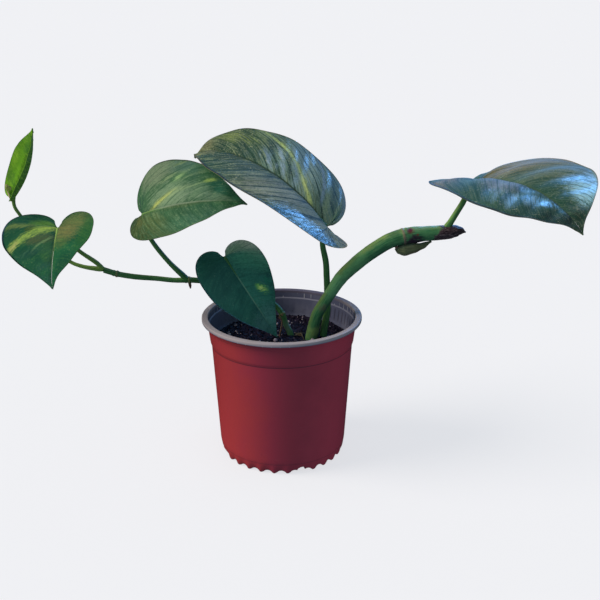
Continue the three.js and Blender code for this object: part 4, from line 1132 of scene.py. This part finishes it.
def makeStems():
    route = cutting["route"]
    rings = [(markOf(route, index), 1.2, 0.85) for index in cutting["nodes"]]
    corkFrom = markOf(route, cutting["cut"]) - 1
    skin = stemFinish("cuttingSkin", stemLooks["cuttingSkin"], rings, corkFrom, cutting["dabs"])
    stout = stemObject("stemCutting", skin, cutting["tube"], route, cutting["nodes"], cutting["ridge"])
    mounted(stout, "stem_skin", "stem_cutting")

    rings = [(markOf(vine["route"], index), 1.0, 0.55) for index in vine["nodes"]]
    skin = stemFinish("vineSkin", stemLooks["vineSkin"], rings, None, vine["dabs"])
    rootSkin = stemFinish("dryRootSkin", rootLooks["dryRootSkin"])
    longStem = stemObject("longVine", skin, vine["tube"], vine["route"], vine["nodes"], vine["ridge"])
    stub = stemObject("stub", rootSkin, roots["tube"], vine["stub"])
    mounted(joined([longStem, stub], "longVine"), "vine_skin", "vine")

    dryRoot = stemObject("dryRoot", rootSkin, roots["tube"], roots["dryRoot"])
    mounted(dryRoot, "dry_root", "dry_root")
    skin = stemFinish("surfaceRootSkin", rootLooks["surfaceRootSkin"])
    routes = roots["surface"] + roots["threads"]
    strands = [stemObject(f"strand{step}", skin, roots["tube"], route) for step, route in enumerate(routes)]
    mounted(joined(strands, "surfaceRoots"), "dry_root", "surface_roots")
    skin = stemFinish("sheathSkin", rootLooks["sheathSkin"])
    scale = stemObject("nodeSheath", skin, roots["sheathTube"], roots["sheath"])
    spike = stemObject("spike", rootSkin, roots["tube"], roots["spike"])
    mounted(joined([scale, spike], "nodeSheath"), "dry_sheath", "node_sheath")


sheathTints = {
    "deep": (150, 138, 96), "mid": (190, 180, 140), "pale": (222, 218, 194), "under": (168, 160, 122),
}


# the end of a stalk is its thick joint under the blade's base; then it runs on as the rib under the blade,
# by distance from the base, drop in ribs and radius in knuckles
def stalkEnd(leaf):
    run, knuckle = leafDetail["ribRun"], leaf["knuckle"]
    origin, along, _, up = midribAt(leaf, np.array((0.0, *(place for place, _, _ in run))))
    joint = origin[0] - leafDetail["jointDrop"] * knuckle * up[0] + leafDetail["jointOnwards"] * along[0]
    end = [(*joint, leafDetail["jointRadius"] * knuckle)]
    for step, (_, drop, radius) in enumerate(run, 1):
        below = (leafDetail["ribTop"] + drop * leaf["rib"]) * up[step]
        end.append((*(origin[step] - below), radius * knuckle))
    return end


def makeLeaves():
    stalkSkins = {key: stemFinish("stalk" + key.title(), stemLooks[key]) for key in ("vineSkin", "youngSkin")}
    slots = {"leaf_front": "leaf_dark", "leaf_left": "leaf_dark", "leaf_young": "leaf_young"}
    for node, leaf in leaves.items():
        first, *others = node.split("_")
        name = first + "".join(map(str.title, others))
        blade = bladeObject(name, leaf)
        blade.data.materials.append(leafFinish(name + "Blade", leaf, leafLooks[node]))
        skin = stalkSkins["youngSkin" if node in ("leaf_young", "leaf_left") else "vineSkin"]
        parts = [blade, stemObject("stalk", skin, stalkTube, leaf["stalk"] + stalkEnd(leaf))]
        if node == "leaf_young":
            sheath = bladeObject("sheath", youngSheath)
            look = {**leafLooks[node], **sheathTints, "patches": [], "streaks": [], "roughness": 0.7}
            sheath.data.materials.append(leafFinish("youngSheathSkin", youngSheath, look))
            parts.append(sheath)
        mounted(joined(parts, name), slots.get(node, "leaf_mature"), node)


makeStems()
print("stems and roots are made")
makeLeaves()
print("leaves are made")

# the pot: its profile turned about the axis, with the feet and the drainage notches set by rule

pot = {
    "height": 110, "rimRadius": 60, "mouthRadius": 55.3, "wall": 1.2, "lipDepth": 2.6, "ledgeHeight": 103.7,
    "stepHeight": 88.9, "stepRise": 2.1, "collarRadius": 54, "bodyTopRadius": 53.1, "bodyFootRadius": 48.3,
    "heelHeight": 11, "footOuter": 45.5, "footInner": 41.5, "heelFloor": 3.4, "panelRadius": 36.5,
    "panelHeight": 4.5, "padRadius": 12, "padSlope": 3, "turnSteps": 224, "fineStep": 1.2, "coarseStep": 5,
    "heelRound": [(2, 1.1, 1.4), (1.1, 3.8, 2.4), (0.5, 7.6, 4)],
    "feet": 28, "firstFoot": 6, "scallopRadius": 5, "scallopDepth": 2, "scallopDraw": 0.35,
    "scallopSoftness": 3.2, "notchFoot": 18.857, "notches": 4, "notchRadius": 3.2, "notchDepth": 5.5,
    "notchReach": 15, "notchInset": 1.5, "heelLine": 8.6, "wearLine": 103.8, "flutes": 72, "fluteDepth": 0.1,
    "scratches": 60, "crisp": 40, "weld": 0.002, "rowsPastLip": 12, "fluteBand": (88, 90.5, 100.5, 102.5),
    "fluteShade": (91.5, 94, 100, 103), "scratchBand": (103.8, 104.6, 107, 108.5),
}


# corners are (radius, height, rounding); long runs are divided so that the rules can bend them
def potProfile():
    p = SimpleNamespace(**pot)
    lip, underRim, outer = p.height - p.lipDepth, p.height - p.wall, p.mouthRadius + p.wall
    stepTop, panelTop = p.stepHeight + p.stepRise, p.panelHeight + p.wall
    innerFoot, arcSteps = p.bodyFootRadius - p.wall, (0, 0.25, 0.5, 0.75, 1)
    outside = [
        (0, 0, 0), (p.padRadius, 0, 0.8), (p.padRadius + p.padSlope, p.panelHeight, 0.8),
        (p.panelRadius, p.panelHeight, 1.2), (p.footInner, 0, 0.6), (p.footOuter, 0, 1),
        *((p.bodyFootRadius - inwards, z, rounding) for inwards, z, rounding in p.heelRound),
        (p.bodyFootRadius, p.heelHeight, 2), (p.bodyTopRadius, p.stepHeight, 0.35),
        (p.collarRadius, stepTop, 0.7), (p.mouthRadius + 0.22, p.ledgeHeight - 1, 0.5),
        (outer - 0.3, p.ledgeHeight + 0.4, 0.5),
        (outer, underRim, 0.6), (p.rimRadius - p.wall, underRim, 0.4), (p.rimRadius - p.wall, lip, 0.15),
        (p.rimRadius, lip, 0.4), (p.rimRadius, p.height, 0.9),
    ]
    inside = [
        (p.mouthRadius, p.height, 0.9), (p.mouthRadius - 0.3, p.ledgeHeight + 0.6, 0.25),
        (p.mouthRadius - 1, p.ledgeHeight - 0.4, 0.3), (p.collarRadius - p.wall, stepTop + 0.6, 0.4),
        (p.bodyTopRadius - p.wall, p.stepHeight + 0.4, 0.4), (innerFoot - 0.2, p.heelHeight, 2),
        (innerFoot - 1.4, 5.8, 1), (p.footOuter, p.heelFloor, 0.8), (p.footInner - 0.6, p.heelFloor, 0.4),
        (p.panelRadius + 0.4, panelTop, 0.6), (p.padRadius + 2.4, panelTop, 0.4),
        (p.padRadius - 0.6, p.wall, 0.4), (0, p.wall, 0),
    ]
    corners = outside + inside
    points = []
    lipRow = 0
    for i, (r, z, rounding) in enumerate(corners):
        here = Vector((r, z))
        arc = [here]
        if rounding:
            ways = [Vector(corners[k][:2]) - here for k in (i - 1, i + 1)]
            start, stop = (here + way.normalized() * min(rounding, 0.45 * way.length) for way in ways)
            arc = [(1 - t) ** 2 * start + 2 * t * (1 - t) * here + t * t * stop for t in arcSteps]
        if points:
            run = arc[0] - points[-1]
            nearHeel = min(z, points[-1].y) < 8 and r > 36
            count = int(run.length / (p.fineStep if nearHeel else p.coarseStep))
            points += [points[-1] + run * (k + 1) / (count + 1) for k in range(count)]
        if i == len(outside) - 2:
            lipRow = len(points)
        points += arc
    return points, lipRow


# a group's input takes the value of the pot's entry of the same name: lengths in metres, angles in radians
potLengths = (
    "scallopRadius", "scallopDepth", "scallopSoftness", "footOuter", "heelHeight", "panelRadius",
    "notchRadius", "notchDepth", "notchReach", "notchInset", "fluteDepth", "weld",
)
potInputs = {
    **{name: pot[name] * mm for name in potLengths},
    **{name: math.radians(pot[name]) for name in ("firstFoot", "notchFoot", "crisp")},
    **{name: float(pot[name]) for name in ("feet", "flutes", "scallopDraw")},
    **{name: pot[name] for name in ("turnSteps", "notches")},
}


# a band of heights: where it starts, from and to where it is full, and where it ends
def within(height, band):
    start, full, fading, end = (level * mm for level in band)
    return height.smooth(start, full) * height.smooth(fading, end, 1, 0)


def potTree():
    inputs = {**potInputs, "profilePoints": 2, "lipRow": 1.0, "outsideSkin": None, "insideSkin": None}
    tree, given = newTree("turnedPot", inputs)
    steps = {"Vertices X": given.turnSteps + 1, "Vertices Y": given.profilePoints}
    grid = added(tree, "GeometryNodeMeshGrid", {"Size X": 1.0, "Size Y": 1.0, **steps})
    where = added(tree, "GeometryNodeInputPosition")
    across, onwards, _ = where.split()
    turn = (across + 0.5) * fullTurn
    row = reckoned("ROUND", (onwards + 0.5) * (given.profilePoints - 1))
    sample = {"Value": where, "Index": row}
    profile = given.shape.shaped("SampleIndex", sample, data_type="FLOAT_VECTOR", domain="POINT")
    radius, _, height = profile.split()

    # between the feet the bottom edge rises in arcs, and the heel above is drawn in a little
    pitch = fullTurn / given.feet
    fromFoot = reckoned("FRACT", (turn - given.firstFoot) / pitch)
    fromMiddle = abs((fromFoot - 0.5) * (pitch * given.footOuter))
    arc = reckoned("SQRT", reckoned("MAXIMUM", given.scallopRadius**2 - fromMiddle**2, 0.0))
    lift = reckoned("MAXIMUM", arc - (given.scallopRadius - given.scallopDepth), 0.0)
    outer = radius.smooth(given.panelRadius, given.panelRadius + given.scallopSoftness)
    lift = lift * (height.smooth(0, given.heelHeight, 1, 0) * outer)
    height = lift + height
    radius = radius - lift * given.scallopDraw

    # shallow flutes on the inner wall, under the ledge
    isInside = reckoned("GREATER_THAN", row, given.lipRow + pot["rowsPastLip"])
    band = within(height, pot["fluteBand"])
    radius = radius + reckoned("COSINE", turn * given.flutes) * given.fluteDepth * (band * isInside)
    place = combined(tree, radius * reckoned("SINE", turn), radius * (reckoned("COSINE", turn) * -1), height)
    shell = stored(grid, "insideRow", reckoned("GREATER_THAN", row, given.lipRow - 0.5))
    shell = shell.shaped("SetPosition", {"Position": place})
    shell = shell.shaped("MergeByDistance", {"Distance": given.weld})
    shell = shell.shaped("SetMaterial", {"Material": given.outsideSkin})
    inner = compared(named(tree, "insideRow"), "GREATER_THAN", 0.75)
    shell = shell.shaped("SetMaterial", {"Selection": inner, "Material": given.insideSkin})

    # round drainage notches, cut across the foot ring
    size = {"Vertices": 32, "Radius": given.notchRadius, "Depth": given.notchReach}
    out = (given.footOuter + given.notchInset) * -1
    shift = combined(tree, 0.0, out, given.notchDepth - given.notchRadius)
    rod = added(tree, "GeometryNodeMeshCylinder", size)
    rod = rod.shaped("Transform", {"Translation": shift, "Rotation": (math.pi / 2, 0, 0)})
    rod = rod.shaped("SetMaterial", {"Material": given.outsideSkin})
    places = added(tree, "GeometryNodePoints", {"Count": given.notches})
    quarter = added(tree, "GeometryNodeInputIndex") * (fullTurn / given.notches) + given.notchFoot
    copies = {"Points": places, "Instance": rod, "Rotation": combined(tree, 0.0, 0.0, quarter)}
    rods = added(tree, "GeometryNodeInstanceOnPoints", copies).shaped("RealizeInstances")
    shell = added(tree, "GeometryNodeMeshBoolean", {"Mesh 1": shell, "Mesh 2": rods}, operation="DIFFERENCE")
    soft = compared(added(tree, "GeometryNodeInputMeshEdgeAngle"), "LESS_THAN", given.crisp)
    shell = shell.shaped("SetShadeSmooth").shaped("SetShadeSmooth", {"Shade Smooth": soft}, domain="EDGE")
    return closed(tree, shell)


potColours = {
    # deepRed and farRed are the red under painted shade and under painted light; deepRed also tints the draw
    # lines
    "red": (166, 56, 62), "deepRed": (156, 50, 73), "farRed": (184, 60, 84), "dust": (172, 96, 96),
    "grey": (154, 150, 158), "backGrey": (92, 90, 112), "deepGrey": (92, 98, 126), "wear": (156, 158, 176),
    # grime is dirt inside the pot, and also the colour of the painted shade at the step and between the flutes
    "scratch": (226, 228, 240), "grime": (44, 40, 58),
}


# a thin line round the pot at a height
def lineAt(height, level, near, far, strength):
    return abs(height - level * mm).smooth(near, far, strength, 0)


def potOutsideFinish():
    tint = potColours
    material, _, spot = newFinish("redPlastic")
    sideways, _, height = spot.split()
    drawn = spot.stretched((240, 240, 14)).noise(1, 4, 0.6)
    # painted shade: a darker, bluer red towards the middle; painted light: a lighter red on the right side
    paintedShadeAcross = (spot.noise(22, 4, 0.6) - 0.5) * 0.05 + sideways
    colour = paintedShadeAcross.smooth(-0.036, -0.004).mix(tint["red"], tint["deepRed"])
    colour = paintedShadeAcross.smooth(0.008, 0.046).mix(colour, tint["farRed"])
    colour = drawn.smooth(0.45, 0.8, 0, 0.16).mix(colour, tint["deepRed"])
    scuffs = spot.stretched((60, 60, 420), (0, 0, 0), (0.3, 0.2, 0)).noise(1, 5, 0.7)
    nearFoot = height.smooth(0, 0.02, 1, 0.15)
    colour = (scuffs.smooth(0.62, 0.75) * nearFoot).mix(colour, tint["dust"])
    # painted shade: a dark line in the crease of the step; a fainter dark line round the heel
    colour = lineAt(height, pot["stepHeight"], 0.0001, 0.0006, 0.6).mix(colour, tint["grime"])
    colour = lineAt(height, pot["heelLine"], 0.0001, 0.0005, 0.35).mix(colour, tint["grime"])
    return dressed(material, colour, drawn * 0.16 + 0.36, relief=(drawn + spot.noise(900, 2), 0.00005, 0.5))


def potInsideFinish():
    tint = potColours
    material, _, spot = newFinish("greyPlastic")
    sideways, inwards, height = spot.split()
    clouds = spot.noise(40, 5, 0.6)
    colour = inwards.smooth(0.012, 0.046).mix(tint["grey"], tint["backGrey"])
    colour = height.smooth(0.1075, 0.1085, 1, 0).mix(colour, tint["deepGrey"])
    colour = clouds.smooth(0.4, 0.75, 0, 0.3).mix(colour, tint["wear"])
    grime = spot.noise(260, 4, 0.7).smooth(0.58, 0.72, 0, 0.8)
    colour = (grime * height.smooth(0.0905, 0.0975, 1, 0)).mix(colour, tint["grime"])
    colour = lineAt(height, pot["wearLine"], 0.0002, 0.0008, 0.4).mix(colour, tint["wear"])

    # scratches from stacking above the ledge, and the shade of the flutes below it
    turn = reckoned("ARCTAN2", sideways, inwards)
    scratch = reckoned("COSINE", turn * pot["scratches"]).smooth(0.965, 0.995, 0, 0.8)
    patchy = spot.noise(90, 2).smooth(0.48, 0.56)
    above = within(height, pot["scratchBand"])
    colour = (scratch * patchy * above).mix(colour, tint["scratch"])
    flute = reckoned("COSINE", turn * pot["flutes"]).smooth(0.2, 0.9, 0, 0.5)
    beneath = within(height, pot["fluteShade"]) * sideways.smooth(0.024, 0.04)
    colour = (flute * beneath).mix(colour, tint["grime"])
    return dressed(material, colour, clouds * 0.2 + 0.5, 0.2, (spot.noise(500, 3), 0.00005, 0.5))


def makePot():
    profile, lipRow = potProfile()
    outline = meshObject("potProfile", [(point.x * mm, 0, point.y * mm) for point in profile], [])
    skins = {"outsideSkin": potOutsideFinish(), "insideSkin": potInsideFinish()}
    rows = {"profilePoints": len(profile), "lipRow": float(lipRow)}
    mounted(grown(outline, potTree(), "redPot", {**potInputs, **rows, **skins}), "pot_plastic", "pot")


makePot()
print("pot is made")

# soil: a lumpy body, with crumbs of bark and grains of perlite scattered over it

soil = {
    "level": 89.8, "mound": 1.4, "relief": 0.8, "edge": 51.4, "base": 6, "footEdge": 45.2, "rings": 56,
    "turnSteps": 160, "crumbs": 270000, "crumbSmall": 0.5, "crumbLarge": 1.9, "seed": 11, "grains": 34,
    "grainSmall": 0.9, "grainLarge": 1.9, "surfaceDraws": 225, "specks": 70, "speckSmall": 0.3,
    "speckLarge": 0.75,
    "placedGrains": [
        (35.6, -10.5, 1.6), (41.2, -6.4, 1.5), (38.4, -14.6, 1.2), (44.2, -10.8, 1.1), (-37.6, -13.2, 1.3),
        (-21.5, -31.5, 1.7), (-30.8, -26.2, 1.2), (9.4, -24.6, 1.5), (14.8, -21.6, 1.3), (3.6, -28.4, 1.1),
    ],
    "moundReach": 50, "wallHeight": 86, "wallGap": 0.3, "grainGap": 0.5, "roughHeight": 1.1, "speckReach": 49,
    "grainDents": 0.66, "seatShare": 0.35, "seatLift": 0.3,
}
soilColours = {
    "dark": (16, 15, 30), "brown": (48, 42, 62), "dust": (96, 88, 104), "grain": (196, 188, 200),
    "grainShade": (130, 120, 140),
}


def around(radius, turn):
    return radius * math.cos(turn), radius * math.sin(turn)


def soilHeight(x, y):
    edge = min(1, math.hypot(x, y) / soil["moundReach"])
    lumps = math.sin(0.21 * x + 1.3) * math.cos(0.17 * y + 0.4) + 0.5 * math.sin(0.43 * x - 0.31 * y)
    return soil["level"] + soil["mound"] * (1 - edge * edge) + soil["relief"] * lumps * (1 - edge**6)


def soilSurface():
    steps, rings = soil["turnSteps"], soil["rings"]
    turns = [fullTurn * k / steps for k in range(steps)]
    points, faces = [(0, 0, soilHeight(0, 0))], []
    for ring in range(1, rings + 1):
        for x, y in (around(soil["edge"] * ring / rings, turn) for turn in turns):
            rough = noise.fractal(Vector((0.22 * x, 0.22 * y, 4)), 0.7, 2.1, 5) * soil["roughHeight"]
            points.append((x, y, soilHeight(x, y) + (rough if ring < rings else 0)))
    for radius, height in ((soil["edge"], soil["wallHeight"]), (soil["footEdge"], soil["base"])):
        points += [(*around(radius, turn), height) for turn in turns]
    points.append((0, 0, soil["base"]))
    low = 1 + (rings + 1) * steps
    for k in range(steps):
        after = (k + 1) % steps
        faces.append((0, 1 + k, 1 + after))
        for a in range(1, low, steps):
            faces.append((a + k, a + steps + k, a + steps + after, a + after))
        faces.append((len(points) - 1, low + after, low + k))
    return meshObject("soilBody", [(x * mm, y * mm, z * mm) for x, y, z in points], faces)


# the same seeded draws as the solid's grains of perlite
def seededGrains():
    state = soil["seed"]
    draws = []
    for _ in range(soil["surfaceDraws"] + 5 * soil["grains"]):
        state = (state * 1664525 + 1013904223) % 4294967296
        draws.append(state / 4294967296)
    draws = draws[soil["surfaceDraws"] :]
    reach = pot["bodyTopRadius"] - pot["wall"] - soil["wallGap"] - soil["grainLarge"] - soil["grainGap"]
    grains = []
    for turnDraw, outDraw, sizeDraw in zip(draws[::5], draws[1::5], draws[2::5]):
        size = soil["grainSmall"] + (soil["grainLarge"] - soil["grainSmall"]) * sizeDraw**2
        grains.append((*around(reach * math.sqrt(outDraw), fullTurn * turnDraw), size))
    return grains


anyTurn = ((0, 0, 0), (6.28, 6.28, 6.28))


def crumbTree():
    inputs = {"density": 100000.0, "smallest": 0.0005, "largest": 0.002, "seed": 1, "skin": None}
    tree, given = newTree("crumbsOnSoil", inputs)
    upper = compared(added(tree, "GeometryNodeInputNormal").split()[2], "GREATER_THAN", 0.4)
    scatter = {"Mesh": given.shape, "Selection": upper, "Density": given.density, "Seed": given.seed}
    spread = added(tree, "GeometryNodeDistributePointsOnFaces", scatter)
    lump = added(tree, "GeometryNodeMeshIcoSphere", {"Radius": 1.0, "Subdivisions": 1})
    turn = randomValue(tree, *anyTurn, given.seed)
    longer = randomValue(tree, (0.4, 0.3, 0.25), (1.25, 0.8, 0.6), 3)
    size = randomValue(tree, 0.0, 1.0, 5) ** 3 * (given.largest - given.smallest) + given.smallest
    copies = {"Points": spread, "Instance": lump, "Rotation": turn, "Scale": longer.scaled(size)}
    lumps = added(tree, "GeometryNodeInstanceOnPoints", copies)
    lumps = stored(lumps, "tone", randomValue(tree, 0.0, 1.0, 9), domain="INSTANCE")
    both = given.shape.shaped("JoinGeometry")
    fed(both.socket.node, {0: lumps})
    return closed(tree, both.shaped("RealizeInstances").shaped("SetMaterial", {"Material": given.skin}))


def grainTree():
    tree, given = newTree("perliteGrains", {"seed": 1, "dents": 0.0007, "skin": None})
    lump = added(tree, "GeometryNodeMeshIcoSphere", {"Radius": 1.0, "Subdivisions": 2})
    turn = randomValue(tree, *anyTurn, given.seed)
    size = named(tree, "radius")
    shape = randomValue(tree, (0.75, 0.75, 0.6), (1.05, 1.0, 0.85), 4)
    cloud = added(tree, "GeometryNodeMeshToPoints", {"Mesh": given.shape, "Radius": size})
    copies = {"Points": cloud, "Instance": lump, "Rotation": turn, "Scale": shape.scaled(size)}
    lumps = added(tree, "GeometryNodeInstanceOnPoints", copies).shaped("RealizeInstances")
    dent = added(tree, "GeometryNodeInputPosition").noise(900, 2, 0.5)
    lumps = pushedOut(lumps, (dent - 0.5) * given.dents)
    return closed(tree, lumps.shaped("SetMaterial", {"Material": given.skin}))


def soilFinish():
    material, tree, spot = newFinish("darkMix")
    clumps = spot.noise(320, 5, 0.65)
    colour = clumps.smooth(0.35, 0.7).mix(soilColours["dark"], soilColours["brown"])
    colour = attributeOf(tree, "tone", "Fac").smooth(0.82, 1, 0, 0.7).mix(colour, soilColours["dust"])
    rough = clumps.smooth(0.2, 0.8, 0.95, 0.7)
    return dressed(material, colour, rough, 0.1, (spot.noise(1200, 4, 0.7), 0.0004, 0.8))


def grainFinish():
    material, _, spot = newFinish("perlite")
    pits = spot.noise(1500, 4, 0.7)
    colour = pits.smooth(0.35, 0.65).mix(soilColours["grainShade"], soilColours["grain"])
    return dressed(material, colour, 0.85, relief=(pits, 0.0003, 0.8))


def makeSoil():
    sizes = {"smallest": soil["crumbSmall"] * mm, "largest": soil["crumbLarge"] * mm}
    values = {"density": float(soil["crumbs"]), "seed": soil["seed"], "skin": soilFinish(), **sizes}
    body = grown(soilSurface(), crumbTree(), "pottingSoil", values)
    rnd = random.Random(soil["seed"])
    grains = seededGrains() + soil["placedGrains"]
    for _ in range(soil["specks"]):
        turn, out = fullTurn * rnd.random(), soil["speckReach"] * math.sqrt(rnd.random())
        grains.append((*around(out, turn), rnd.uniform(soil["speckSmall"], soil["speckLarge"])))
    seats = [soilHeight(x, y) + soil["seatShare"] * size + soil["seatLift"] for x, y, size in grains]
    cloud = meshObject("grainPlaces", [(x * mm, y * mm, z * mm) for (x, y, _), z in zip(grains, seats)], [])
    pointValues(cloud.data, "radius", [size * mm for _, _, size in grains])
    values = {"seed": soil["seed"], "dents": soil["grainDents"] * mm, "skin": grainFinish()}
    perlite = grown(cloud, grainTree(), "perlite", values)
    mounted(joined([body, perlite], "pottingSoil"), "potting_mix", "soil")


makeSoil()
print("soil is made")
